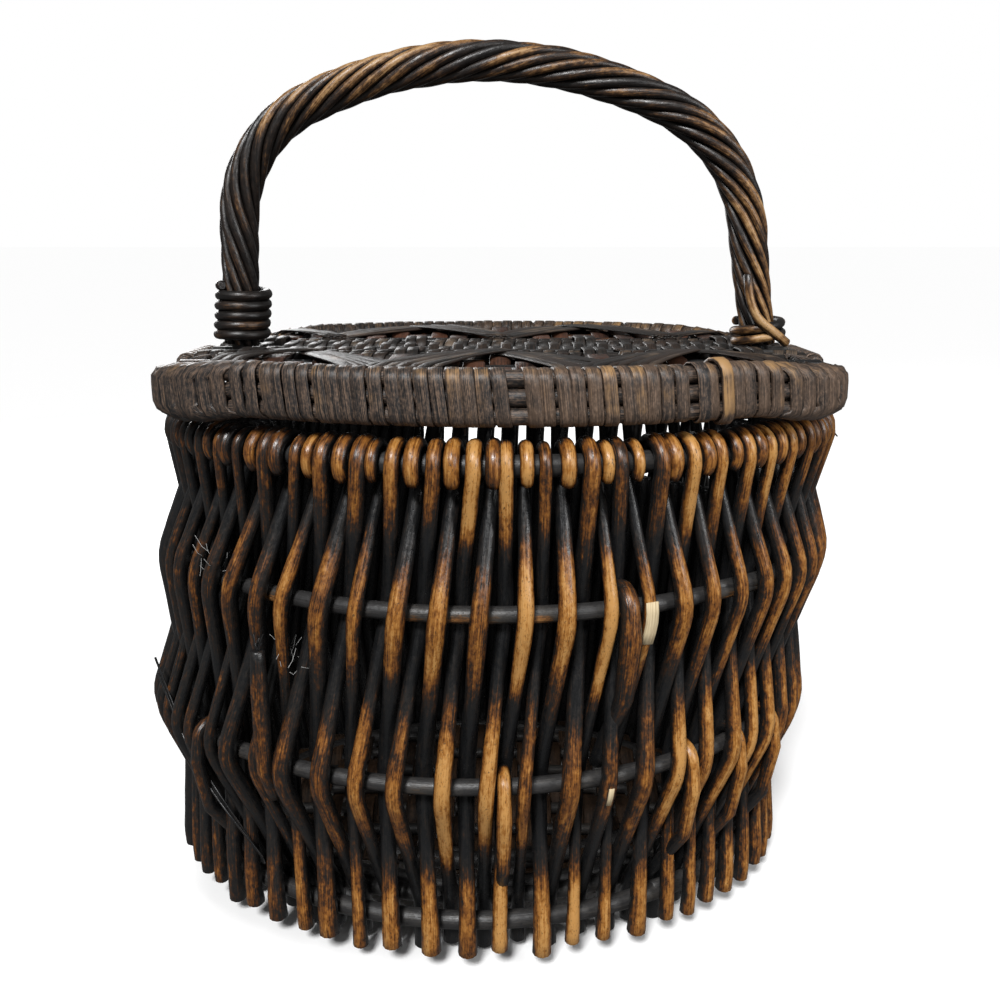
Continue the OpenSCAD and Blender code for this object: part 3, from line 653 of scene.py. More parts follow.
def foot_of(side, i):
    """The height of a stake's foot: some outer feet touch the floor, and the inner ones end higher."""
    if side > 0:
        return 0.0012 if i % 4 == 0 else 0.0025 + 0.004 * abs(math.sin(math.radians(137 * i)))
    return 0.009 + 0.004 * abs(math.sin(math.radians(71 * i)))


def laid_stakes(side, start):
    """Rows of every stake on one side, with its tone."""
    rng = random.Random("stakes %d" % side)
    made = []
    for i in range(PAIRS):
        share = (2 * i + start) / (2 * PAIRS)
        stout = rng.uniform(0.74, 1.12) * (1 - 0.08 * math.cos(2 * math.tau * share))
        if not at_front(share):
            stout = 0.3 * stout + 0.78
        lean = sways(rng, i, side, share)
        tail = rng.uniform(0.004, 0.012)
        rows = stake_rows(share, side, foot_of(side, i), stout, lean, tail, i + 70 * start)
        made.append((worn_and_shaded_rows(rows, rng.uniform(0.52, 1.16), i + 31 * start), rng.random()))
    return made


# %% Two pieces: the stakes that pass before the rim, and those that pass behind it
stakes = {"outer": laid_stakes(1, 0.5), "inner": laid_stakes(-1, 1.5)}
for name, rods in stakes.items():
    work = new_work()
    for rows, tone in rods:
        lay_rod(work, rows, sides=12, tone=tone, back_rub=0.1)
    put_piece(f"wall_{name}_stakes", work, stake_finish, "basket", "stake_willow", name + "_stakes")

# %% [markdown]
# ## Stakes inside the back
# No light comes through the real wall, except through a row of slots under the lid. One layer of stakes
# can't do that, because its two kinds stand in front of each other when they are seen at a slant. A maker
# closes such a wall with bye-stakes, which stand inside it on the hoop of the base. They are laid round
# the back and the ends, keep clear of the handle's legs, and stop below the slots.

# %% Bye-stakes
BYE_R = 0.0041
BYE_FOOT_Z = 0.0295
BYE_TOP_Z = 0.243
SLOTS_FROM, SLOTS_TO = -0.052, 0.145
UNDER_SLOTS_Z = 0.199
work = new_work()
rng = random.Random("bye-stakes")
for k in range(2 * PAIRS):
    share = (k + 1) / (2 * PAIRS)
    spot = oval_at(upper, share)[0]
    if 0.56 < share < 0.94 or abs(spot.y) < 0.018:
        continue
    chain = []
    for hoop, z in ((base, BYE_FOOT_Z), (lower, lower.z), (upper, upper.z), (rim, BYE_TOP_Z)):
        inside = hoop.thick / 2 + 2 * STAKE_R + SLACK + BYE_R
        lean = rng.uniform(-0.0005, 0.0005)
        chain.append(hoop_row(hoop, share, z, -inside, 0, BYE_R * rng.uniform(0.94, 1.06), lean)[:7])
    if spot.y > 0 and SLOTS_FROM < spot.x < SLOTS_TO:
        cut = (UNDER_SLOTS_Z - upper.z) / (BYE_TOP_Z - upper.z)
        chain[-1] = [a + (b - a) * cut for a, b in zip(chain[-2], chain[-1])]
    rows = [(Vector(row[:3]), Vector(row[3:6]), row[6], row[6], 0.1) for row in refined(chain, 0.02)]
    lay_rod(work, rows, sides=8, tone=rng.random())
put_piece("bye_stakes", work, stake_finish, "basket", "stake_willow")

# %% [markdown]
# ## The hoops
# Each hoop is one rod, bent round, with its two ends lying on each other. The frame's hoop is a closed
# ring, so a ring would do, but a lap is what the real one has. The rod starts at the lap, runs once
# round and ends a little past its own start.

# %% Four hoops with lapped ends
LAP = 0.036


def hoop_rows(hoop, start, lap, seed, bare):
    """Rows round a hoop, from a share of the way round to a lap past it."""
    count = 230
    radius = hoop.thick / 2
    rows = []
    for k in range(count + 1):
        turn = (1 + lap) * k / count
        spot, out = oval_at(hoop, start + turn)
        ends = min(1, turn / lap, (1 + lap - turn) / lap)
        slide = 0.6 * radius * (1 - ends) * (1 if turn < 0.5 else -1)
        r = radius * (0.72 + 0.28 * ends) * (1 + 0.025 * drift(seed, k * 0.2))
        place = spot + Z * (hoop.z + slide + 0.0003 * drift(seed + 3, k * 0.12))
        rub = bare * ease(-0.25, 0.5, drift(seed + 5, k * 0.35))
        rows.append((place, (out * 0.62 - Z * 0.78), r, r, rub))
    return rows


def front_share(hoop, x):
    """The share of the way round at which the front of a hoop has a given X."""
    shares = (0.5 + k / 1000 for k in range(501))
    return min(shares, key=lambda share: abs(oval_at(hoop, share)[0].x - x))


hoops = {
    "rim_rod": (rim, "rim_hoop", 0.30, 0.2),
    "upper_rod": (upper, "upper_hoop", front_share(upper, 0.109), 0.95),
    "lower_rod": (lower, "lower_hoop", 0.13, 0.35),
    "base_rod": (base, "base_hoop", front_share(base, 0.085), 0.2),
}
for seed, (name, (hoop, node, start, bare)) in enumerate(hoops.items()):
    work = new_work()
    lay_rod(work, hoop_rows(hoop, start, LAP, seed + 2, bare), sides=14, tone=0.2 + 0.15 * seed)
    put_piece(name, work, hoop_finish, "basket", "hoop_willow", node)

# %% [markdown]
# ## Short stakes hooked over a hoop
# Where a stake broke or a gap grew too wide, the maker added a short stake. Its top is bent over a hoop
# like a hook, and its lower end is pushed down behind the next hoop. Each stands in front of a stake
# that passes behind its hoop, so it takes that stake's share of the way round.

# %% Hooked stakes
def hook_rows(hoop, below, share, stout, seed):
    """Rows of a short stake, from its end inside the wall, over the hoop and down."""
    r = 0.0036 * stout
    wrap = hoop.thick / 2 + r + 0.0002
    rows = [hoop_row(hoop, share, hoop.z - 0.006, -wrap, -1, r)]
    rows += [over_hoop(hoop, share, -1, wrap, math.radians(a), r) for a in range(0, 181, 20)]
    drop = (hoop.z - below.z) / 2
    off = hoop.thick / 2 + r + 0.001
    lower_rows = [
        hoop_row(hoop, share, hoop.z - 0.012, off * 1.05, 1, r * 1.15),
        hoop_row(hoop, share, hoop.z - drop, off * 0.4, 0.3, r),
        hoop_row(below, share, below.z + 0.004, -off * 0.8, -1, r * 0.8),
    ]
    rows += [[*row[:3], *(-v for v in row[3:6]), *row[6:8], -1] for row in lower_rows]
    return worn_and_shaded_rows(refined(rows, 0.006), 0.55 if hoop is upper else 0.95, seed)


work = new_work()
hooked = [(upper, lower, 45, 0.5, 1.25), (lower, base, 42, 1.5, 0.9), (lower, base, 47, 1.5, 0.95)]
hooked += [(lower, base, 49, 1.5, 0.85), (lower, base, 51, 1.5, 0.9), (lower, base, 33, 1.5, 0.9)]
for seed, (hoop, below, pair, start, stout) in enumerate(hooked):
    share = (2 * pair + start) / (2 * PAIRS)
    lay_rod(work, hook_rows(hoop, below, share, stout, seed + 3), sides=12, tone=0.3 + 0.1 * seed)
put_piece("hooked_stakes", work, stake_finish, "basket", "stake_willow")

# %% [markdown]
# ## Small damage
# A stake has split over the upper hoop, and a flake of pale wood shows. Another broke off to the left
# and keeps its grey, splintered top. Cobwebs hang there, two thin strands have come loose at the lower
# left, and a splinter sticks out at the right end of the rim. Each follows a stake or a hoop by name,
# so that it stays in its place when the wall is changed.

# %% Pale flakes and a broken stake
def stake_near(name, x, z):
    """The rows of the front stake that passes nearest to a place."""
    def miss(rod):
        return min(abs(row[0].x - x) + abs(row[0].z - z) for row in rod[0] if row[0].y < 0)

    return min((rod for rod in stakes[name] if rod[0][0][0].y < 0), key=miss)[0]


def flake_rows(name, x, low, high, wide):
    """Rows of a flake on the outer face of a stake, between two heights."""
    rows = [row for row in stake_near(name, x, (low + high) / 2) if low < row[0].z < high]
    return [(spot + out * r * 0.95, out, wide, 0.0006, 0) for spot, out, r, _, _ in rows]


work = new_work()
for flake in (("inner", 0.080, 0.163, 0.190, 0.0032), ("outer", 0.063, 0.089, 0.103, 0.0014)):
    lay_skein(work, flake_rows(*flake), 0.5, 0.6)
put_piece("pale_flakes", work, straw_finish, "basket", "stake_willow")

broken_share = (2 * round(front_share(lower, -0.089) * PAIRS - 0.75) + 1.5) / (2 * PAIRS)
chain = [(0.160, 0.0105, 0.1, 0.0034), (0.145, 0.0105, 0.5, 0.0042), (0.120, 0.0100, 1, 0.0043)]
chain += [(0.100, 0.0092, 1, 0.0040), (0.084, 0.0030, 0.2, 0.0034)]
rows = [hoop_row(lower, broken_share, z, off, proud, r) for z, off, proud, r in chain]
work = new_work()
lay_rod(work, worn_and_shaded_rows(refined(rows, 0.006), 0.8, 5), sides=12, tone=0.2)
rng = random.Random("splinters")
top, outwards = Vector(rows[0][:3]), Vector(rows[0][3:6])
for k in range(7):
    lean = Vector((rng.uniform(-0.003, 0.006), rng.uniform(-0.002, 0.002), rng.uniform(0.004, 0.010)))
    start = top + Vector((rng.uniform(-0.0025, 0.0025), 0, -0.003))
    splinter = []
    for t in (0, 0.5, 1):
        place = start.lerp(top + lean, t)
        splinter.append((place, outwards, 0.0008 - 0.0006 * t, 0.0005 - 0.0003 * t, 0))
    lay_rod(work, splinter, sides=6, tone=0.1)
put_piece("broken_stake", work, stake_finish, "basket", "stake_willow")

# %% Cobwebs, loose strands and a splinter
def on_front(hoop, x, z, off):
    """A place in front of the wall."""
    spot, out = oval_at(hoop, front_share(hoop, x))
    return spot + out * off + Z * z


work = new_work()
for x, z in ((-0.127, 0.192), (-0.086, 0.160)):
    middle = on_front(upper, x, z, 0.004)
    for k in range(14):
        start = middle + Vector([rng.uniform(-0.008, 0.008) for _ in range(3)])
        end = start + Vector([rng.uniform(-0.009, 0.009) for _ in range(3)])
        sag = Vector((0, 0, -0.0015))
        web = [start, start.lerp(end, 0.5) + sag, end]
        lay_rod(work, [(spot, Vector((0.1, -1, 0.1)), 0.0001, 0.0001, 0) for spot in web], sides=4)
put_piece("cobwebs", work, cobweb_finish, "basket", "stake_willow")

work = new_work()
for k in range(2):
    start = on_front(lower, -0.166 + 0.003 * k, 0.128 - 0.006 * k, 0.010)
    end = on_front(base, -0.108 + 0.004 * k, 0.047 - 0.004 * k, 0.012)
    bend = start.lerp(end, 0.5) + Vector((-0.004, -0.006, -0.004 * k))
    strand = rounded([list(start), list(bend), list(end)], 0.03)
    rows = [(Vector(place), Vector((-0.6, -0.8, 0)), 0.0008, 0.0006, 0) for place in strand]
    lay_rod(work, rows, sides=6)
spot, out = oval_at(rim, 0.985)
splinter = []
for k in range(4):
    place = spot + out * (0.004 + 0.0035 * k) + Z * (rim.z + 0.006 - 0.0042 * k)
    splinter.append((place, Z + out, 0.0011 - 0.0002 * k, 0.0004, 0))
lay_rod(work, splinter, sides=6)
put_piece("loose_strands", work, stake_finish, "basket", "stake_willow")

# %% [markdown]
# ## The handle
# The handle is a stout bow whose legs run down inside the wall, and thinner rods are twisted round it.
# A screw modifier can't follow an arch, so each twisted rod is laid by a formula: it stands off the
# middle of the bow by both radii, and turns once in 135 millimetres. The arch is three arcs and two
# leaning legs, as in the frame, and its top has been pulled a little to the left.

# %% The arch
HANDLE_TOP = 0.433
SHOULDER_R = 0.072
SHOULDER_DROP = 0.086
LEG_LEAN = math.radians(5)
LEG_SEAT_X = 0.146838
LEG_END_Z = 0.172
BOW_R = 0.00525
STRAND_TURN = 0.135
STRANDS = 9
STRAND_END_Z = 0.291
TOP_PULL = 0.0085
shoulder_z = HANDLE_TOP - SHOULDER_DROP
shoulder_x = LEG_SEAT_X - SHOULDER_R / math.cos(LEG_LEAN) - (shoulder_z - upper.z) * math.tan(LEG_LEAN)
top_r = (shoulder_x**2 + SHOULDER_DROP**2 - SHOULDER_R**2) / (2 * (SHOULDER_DROP - SHOULDER_R))
top_centre = HANDLE_TOP - top_r
shoulder_end = math.atan2(shoulder_z - top_centre, shoulder_x)
leg_top_x = shoulder_x + SHOULDER_R * math.cos(LEG_LEAN)
leg_top_z = shoulder_z + SHOULDER_R * math.sin(LEG_LEAN)
top_run = top_r * (math.pi / 2 - shoulder_end)
shoulder_run = SHOULDER_R * (shoulder_end - LEG_LEAN)
foot_run = (leg_top_z - STRAND_END_Z) / math.cos(LEG_LEAN)
half_run = top_run + shoulder_run + foot_run


def leg_spot(side, z):
    """A place on the middle of a leg."""
    return Vector((rim.x + side * (leg_top_x + (leg_top_z - z) * math.tan(LEG_LEAN)), 0, z))


def arch_at(run):
    """Place and outward direction on the middle of the bow, at a run from its left foot."""
    down = abs(run - half_run)
    side = -1 if run < half_run else 1
    if down < top_run:
        angle = math.pi / 2 - down / top_r
        spot = Vector((side * top_r * math.cos(angle), 0, top_centre + top_r * math.sin(angle)))
    elif down < top_run + shoulder_run:
        angle = shoulder_end - (down - top_run) / SHOULDER_R
        x = side * (shoulder_x + SHOULDER_R * math.cos(angle))
        spot = Vector((x, 0, shoulder_z + SHOULDER_R * math.sin(angle)))
    else:
        angle = LEG_LEAN
        rest = down - top_run - shoulder_run
        spot = Vector((side * (leg_top_x + rest * math.sin(angle)), 0, leg_top_z - rest * math.cos(angle)))
    pull = TOP_PULL * max(0, (spot.z - STRAND_END_Z) / (HANDLE_TOP - STRAND_END_Z))
    spot.x += rim.x - pull
    return spot, Vector((side * math.cos(angle), 0, math.sin(angle)))


print("the handle is", round(2 * half_run, 3), "m round its arch")

# %% The rods twisted round it
STRAND_R = 0.00245
STRAND_FOOT_R = 0.0018
FOOT_LENGTH = 0.06


def strand_rows(k, stout, seed):
    """Rows of one twisted rod, from the left foot to the right one."""
    rows = []
    steps = 170
    for i in range(steps + 1):
        run = 2 * half_run * i / steps
        middle, out = arch_at(run)
        foot = min(1, run / FOOT_LENGTH, (2 * half_run - run) / FOOT_LENGTH)
        r = (STRAND_FOOT_R + (STRAND_R - STRAND_FOOT_R) * foot) * stout * (1 + 0.05 * drift(seed, i * 0.15))
        turn = math.tau * (run / STRAND_TURN + (k + 0.12 * drift(seed + 20, run * 9)) / STRANDS)
        away = Vector((0, -1, 0)) * math.cos(turn) + out * math.sin(turn)
        # Painted highlight: strand faces turned up and to the front, towards the key lamp, get more amber.
        top = 0.62 + 0.38 * away.dot(Vector((0, -0.6, 0.8)))
        place = run / (2 * half_run)
        held = 0.55 + 0.45 * ease(0.15, 0.35, place)
        held = held - 0.25 * ease(0.5, 0.62, place) + 0.3 * ease(0.78, 0.9, place)
        rub = top * held * ease(-0.75, 0.35, drift(seed + 40, i * 0.1))
        rows.append((middle + away * (BOW_R + 0.0001 + r * 0.97), away, r, r, rub))
    return rows


rng = random.Random("handle")
work = new_work()
for k in range(STRANDS):
    lay_rod(work, strand_rows(k, rng.uniform(0.93, 1.07), k), sides=12, tone=rng.random(), back_rub=0.0)
put_piece("twisted_rods", work, handle_finish, "basket", "handle_willow", "handle_strands")

# %% The bow inside
legs_z = [LEG_END_Z, 0.2, 0.23, 0.26]
bow = [(leg_spot(-1, z), Vector((-1, 0, 0))) for z in legs_z]
bow += [arch_at(2 * half_run * i / 90) for i in range(91)]
bow += [(leg_spot(1, z), Vector((1, 0, 0))) for z in reversed(legs_z)]
work = new_work()
lay_rod(work, [(spot, out, BOW_R, BOW_R, 0) for spot, out in bow], sides=16, tone=0.4)
put_piece("bow", work, handle_finish, "basket", "handle_willow", "handle_bow")

# %% [markdown]
# ## The bindings at the handle's feet
# A thin rod is wound round each foot to keep the twist from opening. On the left it is wound five times,
# close together. On the right two loose turns are left, and the end of a twisted rod sticks out.

# %% Two bindings and one loose end
def coil_rows(side, z, radius, rod_r, turns, pitch, seed, rub):
    """Rows of a rod wound up a leg."""
    middle = leg_spot(side, z)
    rise = Vector((-side * math.sin(LEG_LEAN), 0, math.cos(LEG_LEAN)))
    front = Vector((0, -1, 0))
    right = front.cross(rise)
    rows = []
    steps = int(turns * 28)
    for i in range(steps + 1):
        turn = math.tau * turns * i / steps
        away = right * math.cos(turn) + front * math.sin(turn)
        loose = 1 + 0.03 * drift(seed, i * 0.16)
        rise_by = pitch * turn / math.tau + 0.0003 * drift(seed + 8, i * 0.2)
        spot = middle + rise * rise_by + away * radius * loose
        rows.append((spot, away, rod_r, rod_r, rub * ease(-0.6, 0.5, drift(seed + 4, i * 0.2))))
    return rows


BIND_R = BOW_R + 0.0037 + 0.0033
work = new_work()
lay_rod(work, coil_rows(-1, 0.2948, BIND_R, 0.0026, 5.1, 0.0051, 1, 0.45), sides=12, tone=0.2)
put_piece("left_binding", work, handle_finish, "basket", "binding_willow", "left_foot_binding")

work = new_work()
lay_rod(work, coil_rows(1, 0.2935, BIND_R, 0.0024, 1.9, 0.0052, 2, 0.95), sides=12, tone=0.8)
loose_end = [(-9, -12.5, 327, 0.2), (-8, -13.8, 315, 0.8), (-4, -15, 305, 1)]
loose_end += [(4, -14, 299, 0.9), (13, -11, 292, 0.7)]
foot = leg_spot(1, 0.30)
chain = [[foot.x + x / 1000, y / 1000, z / 1000, bare] for x, y, z, bare in loose_end]
rows = [(Vector(row[:3]), Vector((0, -1, 0.3)), 0.0025, 0.0025, row[3]) for row in rounded(chain, 0.006)]
lay_rod(work, rows, sides=12, tone=0.9)
put_piece("right_binding", work, handle_finish, "basket", "binding_willow", "right_foot_binding")

# %% [markdown]
# ## Wrapping a skein round something
# The lids' borders, the bridge's rods, its ends and the hinge loops are all bound with flat skein. A
# torus for each turn would lie square across, but a wound skein creeps forwards as it goes round. So a
# turn is a rod of the flat kind, laid round a ring that may be stretched: a circle for a round rod, and
# a tall ring for a border. Its start and end meet on the hidden side, each one step further along.

# %% Rings and wraps
# LIGHTWARD points from the basket towards the key lamp; it is used to paint highlights on skein faces
# turned to it.
LIGHTWARD = Vector((-0.3, -0.62, 0.72))


def ring_at(turn, radius, straight):
    """Across and along places on a stretched ring, and its outward direction, at a share of a turn."""
    bend = math.pi * radius
    run = turn % 1 * 2 * (straight + bend)
    side = -1 if run < straight + bend else 1
    rest = run if side < 0 else run - straight - bend
    if rest < straight:
        return side * radius, side * (straight / 2 - rest), side, 0
    angle = (rest - straight) / radius
    a, b = side * math.cos(angle), -side * math.sin(angle)
    return radius * a, -side * straight / 2 + radius * b, a, b


def wrap_rows(axis_at, ring, start, pitch, wide, thick, wear=0.4, tilt=0.0, steps=22, bow=0.0):
    """Rows of one turn of skein; axis_at gives the axis's place and its two cross directions."""
    rows = []
    for k in range(steps + 2):
        turn = k / steps
        a, b, out_a, out_b = ring_at(turn, *ring)
        spot, across, long = axis_at(start + pitch * turn + bow * max(0, out_a))
        out = across * out_a + long * out_b + across.cross(long) * tilt
        # Painted highlight: the gold share grows on faces of the turn that point to the key lamp; wear sets
        # how much.
        rub = wear * (0.25 + 0.75 * max(0, out.dot(LIGHTWARD)))
        rows.append((spot + across * a + long * b, out, wide, thick, rub))
    return rows


def rod_axis(y, z, middle=rim.x):
    """The axis of a straight rod along X."""
    return lambda x: (Vector((middle + x, y, z)), Vector((0, 1, 0)), Z)


def spaced(low, high, pitch, clear=(), room=0.0):
    """Places from low to high, a pitch apart, that keep clear of some others."""
    count = int((high - low) / pitch)
    places = [low + (high - low - count * pitch) / 2 + pitch * k for k in range(count + 1)]
    return [x for x in places if all(abs(x - c) > room for c in clear)]


def lay_straight(work, start, end, radius, tone, seed, rub=0.2, sides=12):
    """A straight rod whose thickness and wear vary a little."""
    rows = []
    steps = max(4, int((end - start).length / 0.012))
    for k in range(steps + 1):
        r = radius * (1 + 0.03 * drift(seed, k * 0.5))
        bare = rub * ease(-0.4, 0.4, drift(seed + 5, k * 0.4))
        rows.append((start.lerp(end, k / steps), Vector((0, -0.4, 0.9)), r, r, bare))
    lay_rod(work, rows, sides=sides, tone=tone)


# %% [markdown]
# ## The bridge
# The bridge is the fixed strip under the handle. The lids turn on its two edge rods, which are bound
# with skein except where a hinge loop goes round them. Two thinner rods pass the handle's legs, short
# splints are woven across, and a bound roll at each end stands on the rim. One bound plate would look
# alike from above, but the light falls through between the rods, and the loops need room to turn.

# %% The bridge's edge rods
SKEIN_T = 0.0006
PITCH = 0.0065
edge_low, edge_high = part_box("bridge_front_rod")
hinge_y = -(edge_low.y + edge_high.y) / 2
hinge_z = (edge_low.z + edge_high.z) / 2
edge_r = (edge_high.z - edge_low.z) / 2
bridge_half = (edge_high.x - edge_low.x) / 2
LOOPS_X = (-0.125, -0.047, 0.047, 0.125)
LOOP_W = 0.012
rng = random.Random("bridge")


def lay_bound_rod(work, y, half_len, rng, wear):
    """A rod along X under turns of skein, which leave room for the hinge loops."""
    core_r = edge_r - 2 * SKEIN_T
    ends = (Vector((rim.x - half_len, y, hinge_z)), Vector((rim.x + half_len, y, hinge_z)))
    lay_straight(work, *ends, core_r, 0.3, rng.random() * 9)
    for x in spaced(-half_len + 0.003, half_len - 0.008, PITCH, LOOPS_X, LOOP_W / 2 + PITCH / 2):
        ring = (core_r + SKEIN_T, 0)
        rub = wear * rng.random()
        rows = wrap_rows(rod_axis(y, hinge_z), ring, x, PITCH, PITCH * 0.46, SKEIN_T, rub, steps=14)
        lay_skein(work, rows, rng.random() * 0.7)


for name, y, node in (("front", -hinge_y, "bridge_front_rod"), ("rear", hinge_y, "bridge_rear_rod")):
    work = new_work()
    lay_bound_rod(work, y, bridge_half, rng, 1.0)
    put_piece(name + "_edge_of_bridge", work, fan_finish, "basket", "bridge_willow", node)

# %% The rods beside the handle's legs
inner_low, inner_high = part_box("bridge_inner_rods")
inner_r = (inner_high.z - inner_low.z) / 2
inner_y = inner_high.y - inner_r
work = new_work()
for seed, y in enumerate((-inner_y, inner_y)):
    ends = (Vector((inner_low.x, y, hinge_z)), Vector((inner_high.x, y, hinge_z)))
    lay_straight(work, *ends, inner_r, 0.35, seed + 3, 0.3)
put_piece("rods_beside_the_legs", work, base_finish, "basket", "bridge_willow", "bridge_inner_rods")

# %% The bridge's splints
LEG_ROOM = 0.009


def woven_rows(x, z, rods, rise, way, start, end, wide, thick, wear=0.4):
    """Rows of a splint along Y that goes over one rod and under the next."""
    rows = []
    steps = max(6, int((end - start) / 0.0035))
    pitch = rods[1] - rods[0] if len(rods) > 1 else 1
    for k in range(steps + 1):
        y = start + (end - start) * k / steps
        place = min(len(rods) - 1, max(0, (y - rods[0]) / pitch))
        wave = way * math.cos(math.pi * place)
        wave = math.copysign(min(1, abs(wave) * 1.3), wave)
        rows.append((Vector((x, y, z + rise * wave)), Z, wide, thick, wear * (0.5 + 0.5 * wave)))
    return rows


splint_low, splint_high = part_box("bridge_splints")
work = new_work()
for k, x in enumerate(spaced(splint_low.x + 0.0028, splint_high.x - 0.0027, PITCH)):
    if min(abs(x - leg_spot(side, hinge_z).x) for side in (-1, 1)) > LEG_ROOM:
        reach = splint_high.y
        rise = inner_r + 0.0008
        way = 1 - k % 2 * 2
        rows = woven_rows(x, hinge_z, (-inner_y, inner_y), rise, way, -reach, reach, 0.0028, SKEIN_T, 0.5)
        lay_skein(work, rows, rng.random() * 0.8)
put_piece("splints_of_bridge", work, fan_finish, "basket", "bridge_willow", "bridge_splints")

# %% The bound rolls at the ends of the bridge
BORDER_W = 0.012
ROD_R = 0.0040
border_low, border_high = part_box("front_lid_border")
roll_low, roll_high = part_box("bridge_right_end")
border_h = roll_high.z - roll_low.z
ROLL = (BORDER_W / 2 - SKEIN_T, border_h - BORDER_W)


def lay_core(work, axis_at, low, high, steps, rng):
    """Three stacked rods inside a roll."""
    for up in (-2 * ROD_R, 0, 2 * ROD_R):
        rows = []
        for k in range(steps + 1):
            spot, across, long = axis_at(low + (high - low) * k / steps)
            rows.append((spot + long * up, across, ROD_R * 0.97, ROD_R * 0.97, 0.15))
        lay_rod(work, rows, sides=10, tone=rng.random() * 0.5)


def roll_axis(side):
    """The axis of a bridge end, from its front end to its back."""
    x = rim.x + side * ((roll_high.x - roll_low.x) / 2 + roll_low.x - rim.x)
    return lambda y: (Vector((x, y, roll_low.z + border_h / 2)), Vector((side, 0, 0)), Z)


for name, side in (("left", -1), ("right", 1)):
    work = new_work()
    axis_at = roll_axis(side)
    lay_core(work, axis_at, roll_low.y, roll_high.y, 4, rng)
    for y in spaced(roll_low.y + 0.003, roll_high.y - 0.008, PITCH):
        rows = wrap_rows(axis_at, ROLL, y, PITCH, PITCH * 0.47, SKEIN_T, 0.3 + 0.4 * rng.random())
        lay_skein(work, rows, 0.2 + 0.5 * rng.random())
    put_piece(name + "_end_of_bridge", work, border_finish, "basket", "bridge_willow", f"bridge_{name}_end")

# %% [markdown]
# ## The lids' borders
# A lid's border is three stacked rods, bent to one long arc and two tight corners, and bound with a
# skein. Where the corners are tight, the turns lie on each other like shingles. At the lobes beside the
# bridge the skein runs along the border and not round it. The front border has a hole where a turn
# broke, and a raised, brassy turn beside a loose dark one.

# %% The border's route
CORNER_R = 0.025
AXIS_R = CORNER_R - BORDER_W / 2
lid_half_w = (border_high.x - border_low.x) / 2
lid_half_d = -border_low.y
corner_x = lid_half_w - CORNER_R
corner_y = CORNER_R - border_high.y
span = lid_half_d - corner_y
front_r = (corner_x**2 + span**2 - CORNER_R**2) / (2 * (span - CORNER_R))
front_middle = front_r - lid_half_d
corner_end = math.atan2(corner_y + front_middle, corner_x)
corner_run = AXIS_R * (math.pi / 2 + corner_end)
border_run = 2 * corner_run + (front_r - BORDER_W / 2) * (math.pi - 2 * corner_end)
lid_lift = border_high.z - border_low.z - border_h


def border_axis(way):
    """The axis of a lid's border from its left end; way is 1 for the front lid and -1 for the rear."""
    def at(run):
        side = -1 if run < border_run / 2 else 1
        rest = run if side < 0 else border_run - run
        if rest < corner_run:
            angle = math.pi / 2 - rest / AXIS_R
            x, y, r = corner_x, -corner_y, AXIS_R
        else:
            angle = -corner_end - (rest - corner_run) / (front_r - BORDER_W / 2)
            x, y, r = 0, front_middle, front_r - BORDER_W / 2
        out = Vector((side * math.cos(angle), way * math.sin(angle), 0))
        x = side * x + out.x * r
        z = border_low.z + border_h / 2 + lid_lift * (1 - ease(0.105, 0.150, abs(x)))
        height = 1 - 0.30 * ease(0.146, 0.163, abs(x))
        return Vector((rim.x + x, way * y + out.y * r, z)), out, Z * height
    return at


print("a border runs", round(border_run, 4), "m")

# %% Both borders
LOBE = 0.040
LOBE_SKEINS = 15
WRAP_PITCH = 0.0065
HOLE = 27
LOOSE = 39
RAISED = 41


def lay_lobe(work, axis_at, low, high, rng):
    """Skeins that run along a border's end, side by side round its section."""
    for j in range(LOBE_SKEINS):
        turn = (j + 0.3 * rng.random()) / LOBE_SKEINS
        rows = []
        for k in range(11):
            spot, across, long = axis_at(low + (high - low) * k / 10)
            a, b, out_a, out_b = ring_at(turn, ROLL[0] - 0.0002 * (j % 3), ROLL[1])
            out = across * out_a + long * out_b
            # Painted highlight: these skeins turn gold only on faces that point to the key lamp.
            rub = 0.35 * max(0, out.dot(LIGHTWARD))
            rows.append((spot + across * a + long * b, out, 0.0026, SKEIN_T, rub))
        lay_skein(work, rows, rng.random() * 0.45, 0.6)


